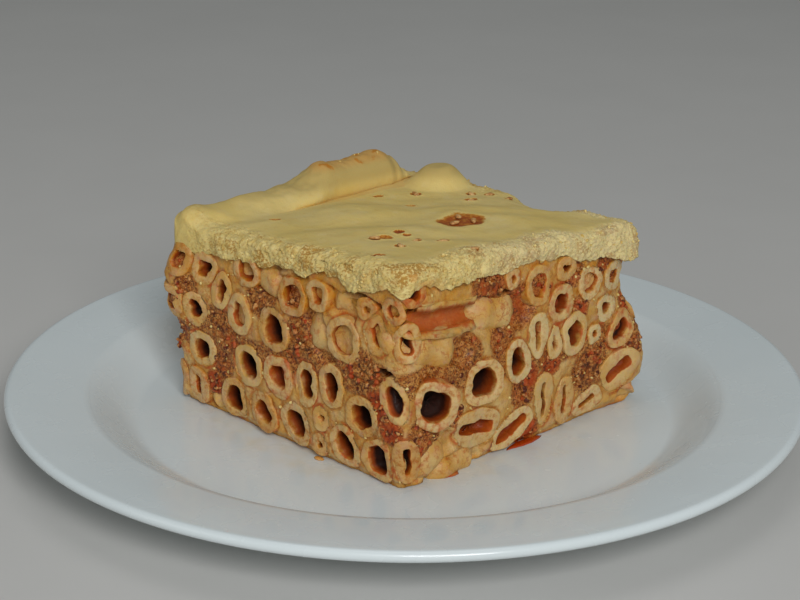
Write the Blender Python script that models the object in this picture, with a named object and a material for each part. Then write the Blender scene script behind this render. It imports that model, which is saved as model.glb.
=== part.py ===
"""A square cut of baked macaroni on a round plate, as five closed solids.

From the bottom: the plate, a lower mass of macaroni, a layer of minced meat in sauce, an upper
mass of macaroni, and a pastry crust whose outer edge is rolled over.  Every layer runs through
the whole cut.  The model is in metres with +Z up; the sizes below are in millimetres.  The
origin is on the table under the middle of the plate, and the cut's sides face along X and Y.
"""

import math

import bmesh
import bpy
from mathutils import noise

MM = 0.001
GAP = 0.3  # clearance between neighbouring solids

# The plate: rim, wall, floor and foot ring.
PLATE_RADIUS = 115.0
PLATE_RIM_TOP = 17.0
PLATE_RIM_INNER = 91.5  # where the rim breaks down into the well
PLATE_RIM_DROP = 2.2  # the rim's inner edge lies this much lower than its lip
PLATE_FLOOR_RADIUS = 77.0
PLATE_FLOOR_TOP = 6.0
PLATE_THICKNESS = 3.2
FOOT_OUTER = 64.0
FOOT_INNER = 58.0
PLATE_SIDES = 64

# The cut of baked pasta: its plan and the height of its top over the plate's floor.
CUT_CENTRE_X = -5.5
CUT_CENTRE_Y = 5.5
CUT_HALF_X = 48.0
CUT_HALF_Y = 48.5
CUT_CORNER = 6.0  # radius of its upright corners
TOP_AT_CORNERS = {"near": 64.0, "left": 54.0, "right": 55.5, "back": 50.5}
UNDER_CRUST_AT_CORNERS = {"near": 58.0, "left": 47.0, "right": 49.0, "back": 44.5}
MINCE_AT_CORNERS = {"near": 27.0, "left": 17.0, "right": 18.0, "back": 20.0}
MINCE_THICKNESS = 7.0
MINCE_ROUGH = 1.0  # how far lumps of meat stand out of the cut sides
CRUST_CORNER = 7.0  # radius of its corners in plan
CRUST_CLEARANCE = 0.6  # the crust and the macaroni under it bend along different edges

# Macaroni ends that swell out of the cut sides.
ENDS_ROUND_CUT = 32
COLUMNS_PER_END = 3
END_SWELL = 2.0
ROWS_PER_MASS = 2

# The rolled edge along the -X side: (share of its length, roll height, roll width).
ROLL_SHAPE = (
    (0.00, 3.2, 12.5),
    (0.05, 4.0, 16.0),
    (0.16, 0.8, 18.0),
    (0.27, 3.0, 18.0),
    (0.42, 4.0, 17.0),
    (0.56, 9.4, 14.5),
    (0.64, 8.6, 14.5),
    (0.78, 9.4, 14.0),
    (0.83, 7.6, 12.5),
    (0.88, 3.0, 11.0),
    (0.92, 0.4, 10.0),
    (1.00, 0.4, 9.0),
)
# Blisters, swells and a sag of the baked top: x, y from the cut's centre, radius, height.
BLISTERS = (
    (-24.8, 38.5, 9.0, 6.2),
    (-13.0, -8.0, 15.0, 1.6),
    (14.0, 16.0, 17.0, 1.4),
    (13.5, 50.0, 14.0, -3.2),
)

COLOURS = {
    "plate": ((0.80, 0.82, 0.82), 0.15),
    "macaroni": ((0.78, 0.60, 0.36), 0.40),
    "mince": ((0.30, 0.12, 0.06), 0.55),
    "pastry": ((0.80, 0.68, 0.42), 0.75),
}


def material(name):
    """The named finish as a Principled material, made once."""
    found = bpy.data.materials.get(name)
    if found:
        return found
    colour, roughness = COLOURS[name]
    made = bpy.data.materials.new(name)
    made.use_nodes = True
    shader = made.node_tree.nodes["Principled BSDF"]
    shader.inputs["Base Color"].default_value = (*colour, 1.0)
    shader.inputs["Roughness"].default_value = roughness
    shader.inputs["Metallic"].default_value = 0.0
    return made


def add_object(name, finish, bm, origin=(0.0, 0.0, 0.0)):
    """Turns a bmesh in millimetres into a smooth-shaded object placed at origin."""
    bmesh.ops.recalc_face_normals(bm, faces=bm.faces)
    bmesh.ops.scale(bm, vec=(MM, MM, MM), verts=bm.verts)
    mesh = bpy.data.meshes.new(name)
    bm.to_mesh(mesh)
    bm.free()
    mesh.shade_smooth()
    mesh.set_sharp_from_angle(angle=math.radians(50))
    mesh.materials.append(material(finish))
    made = bpy.data.objects.new(name, mesh)
    made.location = [part * MM for part in origin]
    bpy.context.scene.collection.objects.link(made)
    return made


def clear_scene():
    """Removes what the file held before."""
    for old in list(bpy.data.objects):
        bpy.data.objects.remove(old, do_unlink=True)


def smooth(share):
    """Smoothstep of a share from 0 to 1."""
    share = min(1.0, max(0.0, share))
    return share * share * (3 - 2 * share)


def wave(x, y, size, seed):
    """Even, repeatable unevenness between about -1 and 1, with humps size millimetres across."""
    return noise.noise((x / size, y / size, seed))


def between_corners(heights, x, y):
    """Height at x, y from the cut's centre, blended from its four corners."""
    right = 0.5 + 0.5 * min(1.0, max(-1.0, x / CUT_HALF_X))
    back = 0.5 + 0.5 * min(1.0, max(-1.0, y / CUT_HALF_Y))
    front_edge = heights["left"] * (1 - right) + heights["near"] * right
    back_edge = heights["back"] * (1 - right) + heights["right"] * right
    return front_edge * (1 - back) + back_edge * back


def crust_top(x, y):
    """Top of the pastry sheet over the plate's floor, without the rolled edge."""
    height = between_corners(TOP_AT_CORNERS, x, y) + 0.8 * wave(x, y, 22.0, 3.0)
    for blister_x, blister_y, radius, rise in BLISTERS:
        reach = math.hypot(x - blister_x, y - blister_y) / radius
        height += rise * smooth(1.3 - reach)
    return height


def crust_bottom(x, y):
    """Underside of the pastry sheet, where the upper macaroni press into it."""
    level = between_corners(UNDER_CRUST_AT_CORNERS, x, y)
    return level + 0.9 * wave(x, y, 15.0, 9.0)


def mince_bottom(x, y):
    """Underside of the meat layer."""
    level = between_corners(MINCE_AT_CORNERS, x, y)
    return level + 2.2 * wave(x, y, 18.0, 21.0)


def mince_top(x, y):
    """Upper side of the meat layer."""
    return mince_bottom(x, y) + MINCE_THICKNESS * (1.0 + 0.35 * wave(x, y, 15.0, 33.0))


def cut_outline(columns, inset):
    """Points round the cut's plan, a rectangle with round corners, evenly spaced."""
    half_x, half_y = CUT_HALF_X - inset, CUT_HALF_Y - inset
    radius = CUT_CORNER
    straight_x, straight_y = 2 * (half_x - radius), 2 * (half_y - radius)
    corner = math.pi * radius / 2
    around = 2 * (straight_x + straight_y) + 4 * corner
    sides = (
        (straight_x, (-half_x + radius, -half_y), (1, 0)),
        (straight_y, (half_x, -half_y + radius), (0, 1)),
        (straight_x, (half_x - radius, half_y), (-1, 0)),
        (straight_y, (-half_x, half_y - radius), (0, -1)),
    )
    points = []
    for column in range(columns):
        left = around * column / columns
        for length, (start_x, start_y), (run_x, run_y) in sides:
            out_x, out_y = run_y, -run_x
            if left <= length:
                points.append((start_x + run_x * left, start_y + run_y * left, out_x, out_y))
                break
            left -= length
            if left <= corner:
                turn = left / radius
                end_x, end_y = start_x + run_x * length, start_y + run_y * length
                hub_x, hub_y = end_x - out_x * radius, end_y - out_y * radius
                way_x = out_x * math.cos(turn) + run_x * math.sin(turn)
                way_y = out_y * math.cos(turn) + run_y * math.sin(turn)
                points.append((hub_x + way_x * radius, hub_y + way_y * radius, way_x, way_y))
                break
            left -= corner
    return points


def lean(x, y, height):
    """How far the side stands out of the plan: it sags outwards low down and swells mid-way."""
    belly = 1.4 * math.sin(math.pi * min(1.0, height / 46.0))
    return belly + 1.1 * wave(x + 40.0, y + height, 26.0, 51.0)


def end_swell(column, row_share, row):
    """Swell of a macaroni end: three columns make one end, and rows are staggered."""
    across = (column + row) % COLUMNS_PER_END != 0
    up = math.sin(math.pi * row_share)
    return END_SWELL * up * (1.0 if across else 0.25)


def layer(name, finish, bottom, top, rows, steps_per_row, swell, rough=0.0):
    """A closed slab that runs through the cut, between two height functions.

    Its wall has rows of swellings, each steps_per_row faces high, or lumps rough millimetres
    deep, and its two faces close inwards through rings with a third of the wall's points.
    """
    bm = bmesh.new()
    columns = ENDS_ROUND_CUT * COLUMNS_PER_END
    outline = cut_outline(columns, 1.5)
    steps = rows * steps_per_row
    rings = []
    for step in range(steps + 1):
        share = step / steps
        row, row_share = divmod(step, steps_per_row)
        ring = []
        for column, (x, y, out_x, out_y) in enumerate(outline):
            low, high = bottom(x, y), top(x, y)
            height = low + (high - low) * share
            out = lean(x, y, height) + swell * end_swell(column, row_share / steps_per_row, row)
            out += rough * (wave(x + 2 * height, y - height, 5.0, 87.0) - 0.4)
            ring.append(bm.verts.new((x + out_x * out, y + out_y * out, height)))
        rings.append(ring)
    for lower, upper in zip(rings, rings[1:]):
        for column in range(columns):
            after = (column + 1) % columns
            bm.faces.new((lower[column], lower[after], upper[after], upper[column]))
    close_face(bm, rings[0], bottom)
    close_face(bm, rings[-1], top)
    origin = (CUT_CENTRE_X, CUT_CENTRE_Y, PLATE_FLOOR_TOP)
    return add_object(name, finish, bm, origin)


def close_face(bm, edge_ring, height):
    """Closes a slab's top or bottom: rings of fewer points that follow its height function.

    Only triangles, so that the slabs on either side of it bend along the same edges.
    """
    ends = ENDS_ROUND_CUT
    inner = []
    for shrink in (0.84, 0.56, 0.28):
        ring = []
        for end in range(ends):
            edge = edge_ring[end * COLUMNS_PER_END]
            x, y = edge.co.x * shrink, edge.co.y * shrink
            ring.append(bm.verts.new((x, y, height(x, y))))
        inner.append(ring)
    centre = bm.verts.new((0.0, 0.0, height(0.0, 0.0)))
    for end in range(ends):
        after = (end + 1) % ends
        first = end * COLUMNS_PER_END
        a, b, c = edge_ring[first : first + COLUMNS_PER_END]
        d = edge_ring[(first + COLUMNS_PER_END) % len(edge_ring)]
        low, high = inner[0][end], inner[0][after]
        for corners in ((a, b, low), (b, c, low), (c, high, low), (c, d, high)):
            bm.faces.new(corners)
        for outer_ring, inner_ring in zip(inner, inner[1:]):
            bm.faces.new((outer_ring[end], outer_ring[after], inner_ring[end]))
            bm.faces.new((outer_ring[after], inner_ring[after], inner_ring[end]))
        bm.faces.new((inner[-1][end], inner[-1][after], centre))


def roll_at(share):
    """Height and width of the rolled edge at a share of its length."""
    for (from_share, low, narrow), (to_share, high, wide) in zip(ROLL_SHAPE, ROLL_SHAPE[1:]):
        if share <= to_share:
            along = smooth((share - from_share) / (to_share - from_share))
            return low + (high - low) * along, narrow + (wide - narrow) * along
    return ROLL_SHAPE[-1][1:]


def crust_section(y, share):
    """One cross-section of the crust: a loop of (x, height) points at this y."""
    rounding = max(0.0, CRUST_CORNER - (CUT_HALF_Y - abs(y)))
    pulled_in = CRUST_CORNER - math.sqrt(CRUST_CORNER**2 - rounding**2) * 0.999
    left, right = -CUT_HALF_X + 0.5 * pulled_in, CUT_HALF_X - 0.7 * pulled_in
    ragged = 0.7 * wave(right, y, 9.0, 61.0)
    roll_height, roll_width = roll_at(share)
    groove = left + roll_width
    loop = []
    top_points, roll_points, under_points = 18, 11, 12
    cut_round = 3.0
    for i in range(top_points):
        x = right + ragged - cut_round + (groove - right - ragged + cut_round) * i / (top_points - 1)
        loop.append((x, crust_top(x, y)))
    middle = left + roll_width / 2
    base = crust_top(groove, y)
    for i in range(1, roll_points):
        turn = math.radians(-28 + 208 * i / (roll_points - 1))
        x = middle + roll_width / 2 * math.cos(turn)
        loop.append((x, base + roll_height * (0.25 + 0.75 * math.sin(turn))))
    low_left = crust_bottom(left, y)
    loop.append((left - 0.4, (base + low_left) / 2))
    for i in range(under_points + 1):
        x = left + 0.6 + (right - left - 0.6 + ragged) * i / under_points
        loop.append((x, crust_bottom(x, y) + CRUST_CLEARANCE))
    edge_top = crust_top(right, y)
    loop.append((right + ragged + 0.5, (edge_top + crust_bottom(right, y)) / 2))
    loop.append((right + ragged - 0.6, edge_top - 1.6))
    return loop


def build_crust():
    """The pastry: one sheet with blisters, swept along Y, its -X edge rolled over on itself."""
    bm = bmesh.new()
    stations = 30
    rings = []
    for station in range(stations):
        share = station / (stations - 1)
        y = CUT_HALF_Y * (2 * share - 1)
        ring = []
        at_cut = station in (0, stations - 1)
        for x, height in crust_section(y, share):
            ragged = 0.8 * wave(x, height, 8.0, 71.0 + station) if at_cut else 0.0
            middle = (crust_top(x, y) + crust_bottom(x, y)) / 2
            eased = middle + (height - middle) * 0.80 if at_cut else height
            ring.append(bm.verts.new((x, y + ragged, eased)))
        rings.append(ring)
    points = len(rings[0])
    for near, far in zip(rings, rings[1:]):
        for i in range(points):
            after = (i + 1) % points
            bm.faces.new((near[i], near[after], far[after], far[i]))
    bm.faces.new(rings[0])
    bm.faces.new(rings[-1])
    bmesh.ops.triangulate(bm, faces=[face for face in bm.faces if len(face.verts) > 4])
    origin = (CUT_CENTRE_X, CUT_CENTRE_Y, PLATE_FLOOR_TOP)
    return add_object("pastry_crust", "pastry", bm, origin)


def build_plate():
    """The plate, turned about Z: foot ring, shallow well, and a nearly level rim."""
    rim_inner_top = PLATE_RIM_TOP - PLATE_RIM_DROP
    wall_run = PLATE_RIM_INNER - PLATE_FLOOR_RADIUS
    wall_rise = rim_inner_top - PLATE_FLOOR_TOP
    under = PLATE_FLOOR_TOP - PLATE_THICKNESS
    profile = [
        (FOOT_INNER - 2.0, under),
        (FOOT_INNER, 0.0),
        (FOOT_OUTER, 0.0),
        (FOOT_OUTER + 2.0, under),
        (PLATE_FLOOR_RADIUS + 3.0, under + 0.8),
        (PLATE_RIM_INNER + 2.0, rim_inner_top - PLATE_THICKNESS - 0.4),
        (PLATE_RADIUS - 2.0, PLATE_RIM_TOP - PLATE_THICKNESS),
        (PLATE_RADIUS, PLATE_RIM_TOP - PLATE_THICKNESS / 2),
        (PLATE_RADIUS - 1.4, PLATE_RIM_TOP),
        (PLATE_RIM_INNER, rim_inner_top),
    ]
    for share in (0.28, 0.62):
        profile.append(
            (PLATE_RIM_INNER - wall_run * share, rim_inner_top - wall_rise * smooth(share + 0.12))
        )
    profile.append((PLATE_FLOOR_RADIUS, PLATE_FLOOR_TOP))
    bm = bmesh.new()
    rings = []
    for radius, height in profile:
        ring = []
        for side in range(PLATE_SIDES):
            turn = 2 * math.pi * side / PLATE_SIDES
            ring.append(bm.verts.new((radius * math.cos(turn), radius * math.sin(turn), height)))
        rings.append(ring)
    for inner, outer in zip(rings, rings[1:]):
        for side in range(PLATE_SIDES):
            after = (side + 1) % PLATE_SIDES
            bm.faces.new((inner[side], inner[after], outer[after], outer[side]))
    bm.faces.new(rings[0])
    bm.faces.new(rings[-1])
    return add_object("plate", "plate", bm)


def main():
    clear_scene()
    build_plate()
    layer(
        "macaroni_lower",
        "macaroni",
        lambda x, y: GAP,
        lambda x, y: mince_bottom(x, y) - GAP,
        ROWS_PER_MASS,
        3,
        1.0,
    )
    layer("mince_sauce", "mince", mince_bottom, mince_top, 1, 3, 0.0, MINCE_ROUGH)
    layer(
        "macaroni_upper",
        "macaroni",
        lambda x, y: mince_top(x, y) + GAP,
        lambda x, y: crust_bottom(x, y) - GAP,
        ROWS_PER_MASS,
        3,
        1.0,
    )
    build_crust()


main()
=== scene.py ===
"""A square cut of baked macaroni on a round plate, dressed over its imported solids.

The filling, the macaroni, the pastry and the plate each have an operator, and so have the small
things scattered on them.  Sizes inside the functions are in millimetres, measured from the middle
of the cut on the plate's floor, and each mesh is turned into metres in the part's own frame when
it is made.  The cut has four sides: front is -Y, right is +X, back is +Y, and the pan side, where
the pasta lay against its baking tin, is -X.
"""

import math
import random

import bmesh
import bpy
import numpy as np
from bpy.props import FloatProperty, FloatVectorProperty, IntProperty, PointerProperty
from mathutils import Matrix, Vector, noise


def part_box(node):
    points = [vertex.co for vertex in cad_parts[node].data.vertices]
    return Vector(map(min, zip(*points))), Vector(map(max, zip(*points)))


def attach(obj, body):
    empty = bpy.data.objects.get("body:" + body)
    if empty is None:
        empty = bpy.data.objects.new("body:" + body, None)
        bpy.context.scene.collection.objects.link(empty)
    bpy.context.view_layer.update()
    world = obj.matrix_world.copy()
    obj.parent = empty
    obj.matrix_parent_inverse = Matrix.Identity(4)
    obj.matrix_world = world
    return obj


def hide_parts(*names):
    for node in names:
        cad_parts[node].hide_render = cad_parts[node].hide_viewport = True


bl_info = {
    "name": "Baked macaroni",
    "version": (1, 0, 0),
    "blender": (4, 5, 0),
    "location": "3D View > Sidebar > Baked macaroni",
    "description": "Builds a cut of baked macaroni with a pastry crust, on its plate",
    "category": "Object",
}

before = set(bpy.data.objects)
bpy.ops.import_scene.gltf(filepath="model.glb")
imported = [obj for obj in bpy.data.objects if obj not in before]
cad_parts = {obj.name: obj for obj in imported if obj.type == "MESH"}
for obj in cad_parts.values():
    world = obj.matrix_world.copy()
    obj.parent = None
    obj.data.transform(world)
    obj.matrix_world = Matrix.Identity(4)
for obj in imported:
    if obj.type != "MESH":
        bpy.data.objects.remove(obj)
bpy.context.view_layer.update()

MM = 0.001

# The plan and the heights of the cut, the same as the solids have. In the charts below, lengths
# are in millimetres, and along and up are measured on a side's face from its lower left end.
CUT_CENTRE_X = -5.5
CUT_CENTRE_Y = 5.5
# The lower macaroni stand this far above the plate's floor.
GAP = 0.3
PLATE_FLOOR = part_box("macaroni_lower")[0].z / MM - GAP
HALF_X = 48.0
HALF_Y = 48.5
CORNER = 5.0
TOP_AT_CORNERS = {"near": 64.0, "left": 54.0, "right": 55.5, "back": 50.5}
UNDER_CRUST_AT_CORNERS = {"near": 58.0, "left": 47.0, "right": 49.0, "back": 44.5}
MINCE_AT_CORNERS = {"near": 27.0, "left": 17.0, "right": 18.0, "back": 20.0}
MINCE_THICKNESS = 7.0
# The rolled edge, from the front to the back: share of its length, height, width.
ROLL_SHAPE = (
    (0.00, 3.2, 12.5),
    (0.05, 3.5, 16.0),
    (0.16, 1.9, 18.0),
    (0.27, 3.0, 18.0),
    (0.42, 4.0, 17.0),
    (0.56, 9.4, 14.5),
    (0.64, 8.6, 14.5),
    (0.78, 9.4, 14.0),
    (0.83, 7.6, 12.5),
    (0.88, 3.0, 11.0),
    (0.92, 0.4, 10.0),
    (1.00, 0.4, 9.0),
)
# Swellings of the crust: x, y from the middle of the cut, radius, rise.
BLISTERS = (
    (-24.8, 38.5, 9.0, 6.2),
    (-13.0, -8.0, 15.0, 1.6),
    (14.0, 16.0, 17.0, 1.4),
    (13.5, 50.0, 14.0, -3.2),
)

SIDES = ("front", "right", "back", "pan")
SIDE_LENGTHS = {"front": 2 * HALF_X, "right": 2 * HALF_Y, "back": 2 * HALF_X, "pan": 2 * HALF_Y}
HALF_ARC = math.pi * CORNER / 4
SIDE_STARTS = {}
AROUND = 0.0
for _side in SIDES:
    SIDE_STARTS[_side] = AROUND
    AROUND += SIDE_LENGTHS[_side] - 2 * CORNER + 2 * HALF_ARC

# Macaroni ends on the two sides that were cut last: how far along the side and how high the middle
# lies, width and height, turn in degrees, and what the bore holds. An open bore runs deep, a half
# one holds sauce far down, and a slit and a mouth were pressed nearly shut.
FRONT_ENDS = (
    (5.9, 44.4, 10.4, 9.6, 0, "meat"),
    (15.3, 43.4, 11.0, 9.8, 0, "open"),
    (33.0, 47.6, 11.0, 10.4, 0, "cream"),
    (52.3, 44.8, 12.6, 10.8, 0, "meat"),
    (62.4, 47.6, 9.4, 9.0, 0, "cream"),
    (2.6, 31.5, 11.0, 10.4, 0, "meat"),
    (22.6, 38.8, 8.8, 11.6, -8, "open"),
    (11.9, 30.6, 10.2, 10.0, 0, "open"),
    (30.6, 34.1, 10.2, 13.4, 10, "cream"),
    (45.1, 33.2, 12.8, 12.8, 0, "open"),
    (73.2, 38.1, 12.8, 12.4, 0, "cream"),
    (84.8, 43.2, 8.8, 13.0, 18, "cream"),
    (91.4, 50.6, 9.6, 8.6, 0, "cream"),
    (97.2, 42.6, 10.6, 11.8, 0, "tan"),
    (81.0, 48.6, 8.0, 6.6, 0, "cream"),
    (13.4, 18.4, 11.6, 11.4, 0, "open"),
    (34.1, 19.4, 11.8, 12.8, 0, "open"),
    (46.8, 20.0, 11.6, 13.0, 0, "half"),
    (58.0, 21.0, 9.2, 13.2, 4, "open"),
    (68.4, 23.4, 9.8, 13.2, 4, "open"),
    (3.2, 6.6, 8.8, 11.6, 0, "slit"),
    (11.2, 6.6, 9.0, 12.0, 0, "slit"),
    (27.4, 7.2, 11.4, 12.8, 6, "open"),
    (40.4, 7.2, 10.6, 12.8, 26, "open"),
    (53.8, 7.6, 12.0, 13.0, 34, "open"),
    (64.4, 12.6, 7.0, 7.0, 0, "cream"),
    (63.6, 4.4, 6.5, 7.0, 0, "cream"),
    (73.4, 7.2, 10.4, 13.0, 30, "open"),
    (80.2, 17.6, 12.8, 11.8, 10, "open"),
    (86.0, 7.2, 12.3, 12.8, 0, "open"),
    (92.0, 25.6, 10.4, 14.4, 30, "open"),
    (97.4, 8.8, 8.6, 14.0, 6, "slit"),
)
RIGHT_ENDS = (
    (10.8, 23.6, 14.2, 14.0, -14, "open"),
    (29.6, 24.4, 13.0, 13.4, 0, "open"),
    (44.3, 26.4, 10.6, 13.6, 6, "open"),
    (53.1, 46.4, 10.8, 12.0, -6, "meat"),
    (62.4, 38.8, 11.2, 12.0, 0, "half"),
    (52.4, 31.6, 8.0, 14.6, 0, "slit"),
    (59.6, 28.0, 6.0, 10.6, 0, "slit"),
    (68.0, 28.6, 12.0, 13.2, -10, "open"),
    (55.6, 11.8, 9.0, 16.0, 4, "slit"),
    (64.6, 8.8, 8.4, 14.8, 4, "slit"),
    (75.6, 5.6, 13.0, 8.0, 16, "slit"),
    (86.6, 12.4, 15.4, 12.0, 38, "mouth"),
    (87.6, 24.6, 12.6, 9.6, 40, "half"),
    (82.2, 32.6, 9.2, 8.6, 0, "open"),
    (76.6, 26.0, 6.0, 6.4, 0, "open"),
    (86.4, 40.6, 11.2, 9.2, 0, "meat"),
    (87.6, 49.0, 6.4, 5.4, 0, "tan"),
    (3.4, 55.6, 9.6, 7.4, 0, "half"),
    (64.4, 48.4, 8.6, 7.6, 0, "tan"),
    (42.0, 50.8, 6.8, 5.6, 0, "half"),
    (74.6, 42.0, 10.8, 9.8, 0, "cream"),
    (29.0, 11.0, 17.4, 12.4, -8, "mouth"),
    (42.4, 6.6, 18.4, 9.2, 28, "mouth"),
)
# Macaroni that lie along a side: side, start (along, up), end (along, up), radius, how far the
# middle lies behind the side, and whether the cut ran through it lengthwise.
LENGTHWISE = (
    ("right", (3.0, 40.6), (22.0, 35.4), 5.8, 5.5, False),
    ("right", (27.0, 43.4), (46.0, 40.8), 6.6, 6.0, False),
    ("right", (2.0, 48.4), (31.0, 44.6), 5.0, 1.6, True),
    ("right", (5.0, 3.6), (17.0, 10.4), 4.6, 3.8, False),
    ("right", (13.0, 2.2), (30.0, 3.6), 4.4, 3.8, False),
    ("front", (35.0, 47.4), (48.0, 45.6), 5.0, 4.6, False),
    ("front", (60.0, 42.0), (66.0, 32.0), 5.4, 4.8, False),
    ("front", (67.0, 48.6), (74.0, 46.0), 4.4, 4.2, False),
    ("front", (16.4, 3.0), (20.6, 4.0), 2.9, 2.4, False),
    ("right", (91.0, 3.4), (96.0, 5.4), 3.8, 3.4, False),
)
# Pockets of minced meat: along, up, radius, and how red the sauce is there.
FRONT_POCKETS = (
    (9.2, 37.0, 4.0, 0.3),
    (21.4, 29.0, 5.5, 0.3),
    (39.5, 41.0, 6.0, 0.35),
    (57.5, 35.0, 7.0, 0.35),
    (25.0, 25.0, 5.0, 0.5),
    (22.5, 16.5, 5.0, 0.5),
    (18.6, 9.4, 4.0, 0.9),
    (79.0, 30.5, 7.0, 0.3),
    (86.5, 30.0, 5.0, 0.4),
    (86.6, 22.5, 5.0, 1.0),
    (91.0, 17.0, 4.0, 0.8),
    (3.0, 22.0, 5.0, 0.5),
    (52.0, 28.0, 4.0, 0.4),
)
RIGHT_POCKETS = (
    (33.0, 50.0, 7.0, 0.6),
    (45.0, 42.0, 7.0, 0.6),
    (23.5, 34.0, 6.0, 0.3),
    (38.0, 34.5, 5.0, 0.5),
    (46.5, 17.0, 5.0, 0.5),
    (75.0, 16.0, 7.5, 0.4),
    (8.0, 15.4, 6.0, 0.4),
    (77.0, 21.5, 5.0, 0.3),
    (49.0, 21.0, 4.0, 0.9),
    (67.0, 47.0, 5.0, 0.5),
    (49.0, 3.4, 5.0, 0.9),
    (70.6, 35.6, 3.6, 0.7),
    (58.4, 22.0, 4.0, 0.8),
    (81.6, 46.0, 3.6, 0.6),
    (93.0, 31.0, 4.0, 0.8),
    (92.0, 19.0, 3.6, 0.6),
    (20.4, 16.8, 3.0, 0.7),
)
# Slots and pits, painted dark as painted shade: side, along, up, length, height, depth.
SLOTS = (
    ("front", 79.0, 50.6, 13.0, 3.0, 6.0),
    ("front", 88.0, 32.4, 6.0, 2.4, 5.0),
    ("front", 43.5, 43.0, 7.0, 1.8, 4.0),
    ("right", 40.0, 47.6, 5.0, 1.6, 3.0),
)
# Dents and bulges of the cut's sides: side, along, up, half width, half height, how far out.
SIDE_BULGES = (
    ("right", 97.0, 38.0, 9.0, 10.0, -4.5),
    ("right", 98.0, 13.0, 10.0, 14.0, 3.4),
    ("front", 0.0, 37.0, 12.0, 11.0, 4.2),
    ("front", 0.0, 19.0, 6.0, 5.0, -2.0),
)
# The clump of meat that stands out of the front-left corner: up, radius, how far out.
CORNER_CLUMP = (16.8, 2.8, 3.4)
# Where the broken crust hangs down over the filling: x, y from the middle, half width, drop.
HANGS = (
    (31.0, -48.5, 8.0, 3.4),
    (48.0, -48.5, 3.4, 4.4),
    (8.0, -48.5, 7.0, 1.4),
    (-22.0, -48.5, 6.0, 1.6),
    (48.0, 22.0, 7.0, 1.4),
    (48.0, 38.0, 11.0, 3.0),
    (48.0, 45.0, 9.0, 2.4),
    (-40.0, -48.5, 6.0, 1.8),
    (-8.0, -48.5, 5.0, 1.6),
    (48.0, -30.0, 8.0, 2.4),
    (48.0, -12.0, 6.0, 1.2),
    (20.0, 48.5, 9.0, 1.6),
)
# Seeds and browned bubbles on the crust: x, y from the middle of the cut, radius, how brown, seeds.
BROWNED = (
    (16.4, 5.9, 6.6, 0.68, 3),
    (-9.0, 36.4, 1.7, 0.60, 1),
    (-2.3, 29.4, 1.9, 0.60, 1),
    (-4.3, 39.4, 1.5, 0.55, 1),
    (2.5, 40.9, 1.4, 0.55, 1),
    (17.9, 38.0, 2.1, 0.55, 0),
    (30.6, -41.1, 2.0, 1.00, 0),
    (15.0, -23.9, 2.2, 0.60, 0),
    (15.1, -27.4, 1.7, 0.55, 1),
    (14.2, -17.0, 1.5, 1.00, 0),
    (17.7, -17.4, 1.2, 0.60, 0),
    (24.2, -20.2, 1.4, 0.55, 1),
    (29.3, -15.1, 1.8, 0.80, 1),
    (-20.6, 24.2, 1.7, 0.55, 1),
    (-23.4, -29.7, 1.7, 0.55, 0),
    (26.6, -28.9, 1.5, 0.55, 1),
    (43.1, -17.4, 1.2, 0.55, 1),
    (-25.7, 13.5, 1.5, 0.55, 0),
    (-10.1, 11.5, 1.5, 0.55, 0),
)
# Juices on the plate beside the cut: side, along, how far out, length, width, and how red.
JUICES = (
    ("right", 50.0, -0.9, 15.0, 2.8, 1.1),
    ("right", 19.0, -0.9, 7.0, 3.0, 0.6),
    ("front", 63.0, 0.2, 3.4, 2.2, 0.2),
    ("back", 30.0, -0.4, 12.0, 3.0, 0.7),
    ("pan", 50.0, -0.3, 14.0, 2.6, 0.5),
)


# ---------------------------------------------------------------------------------------------
# Sizes and colours that a user would change.


def linear(colour):
    """An sRGB hex colour such as "E8D8B0" as the linear RGB that Blender's shaders take."""
    parts = [int(colour[i : i + 2], 16) / 255 for i in (0, 2, 4)]
    return tuple(p / 12.92 if p <= 0.04045 else ((p + 0.055) / 1.055) ** 2.4 for p in parts)


def colour_property(name, colour, description):
    """A colour swatch with an sRGB hex default."""
    return FloatVectorProperty(
        name=name, description=description, subtype="COLOR", size=3, min=0, max=1, default=linear(colour)
    )


def length_property(name, metres, description):
    """A length in metres."""
    return FloatProperty(
        name=name, description=description, subtype="DISTANCE", unit="LENGTH", default=metres
    )


class MacaroniSettings(bpy.types.PropertyGroup):
    """Sizes and colours of the macaroni."""

    wall: length_property("Wall", 0.0025, "Thickness of the cooked wall")
    bore_depth: length_property("Bore depth", 0.014, "How deep an open bore is modelled")
    flesh: colour_property("Flesh", "D29E4A", "Cooked durum wheat")
    pale: colour_property("Pale flesh", "DAB674", "Where the wall is thick and dry")
    soaked: colour_property("Soaked flesh", "B46A0E", "Where it has taken up sauce")
    rim: colour_property("Rim", "DEC692", "Where the knife cut it")


class FillingSettings(bpy.types.PropertyGroup):
    """Sizes and colours of the meat sauce and the cream between the macaroni."""

    recess: length_property("Recess", 0.0001, "How far the filling stands behind the cut")
    grain: length_property("Meat grain", 0.0012, "Size of a lump of minced meat")
    meat: colour_property("Meat", "A4560E", "Browned minced meat")
    sauce: colour_property("Sauce", "B43E02", "Tomato and oil")
    cream: colour_property("Cream", "C49040", "Cream and starch between the macaroni")
    seed: IntProperty(name="Seed", description="Scatter of the meat", default=11, min=0)


class PastrySettings(bpy.types.PropertyGroup):
    """Sizes and colours of the crust."""

    granule: length_property("Granule", 0.0005, "Size of the crumb on the cut edges")
    crumb: length_property("Crumb", 0.0004, "Size of a loose crumb")
    surface: colour_property("Surface", "E0C472", "Pale baked shortcrust")
    inside: colour_property("Inside", "EAD48E", "Broken edge of the shortcrust")
    browned: colour_property("Browned", "5C1E02", "Caramelised spots")
    seed: IntProperty(name="Seed", description="Scatter of the crumbs", default=5, min=0)


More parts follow.
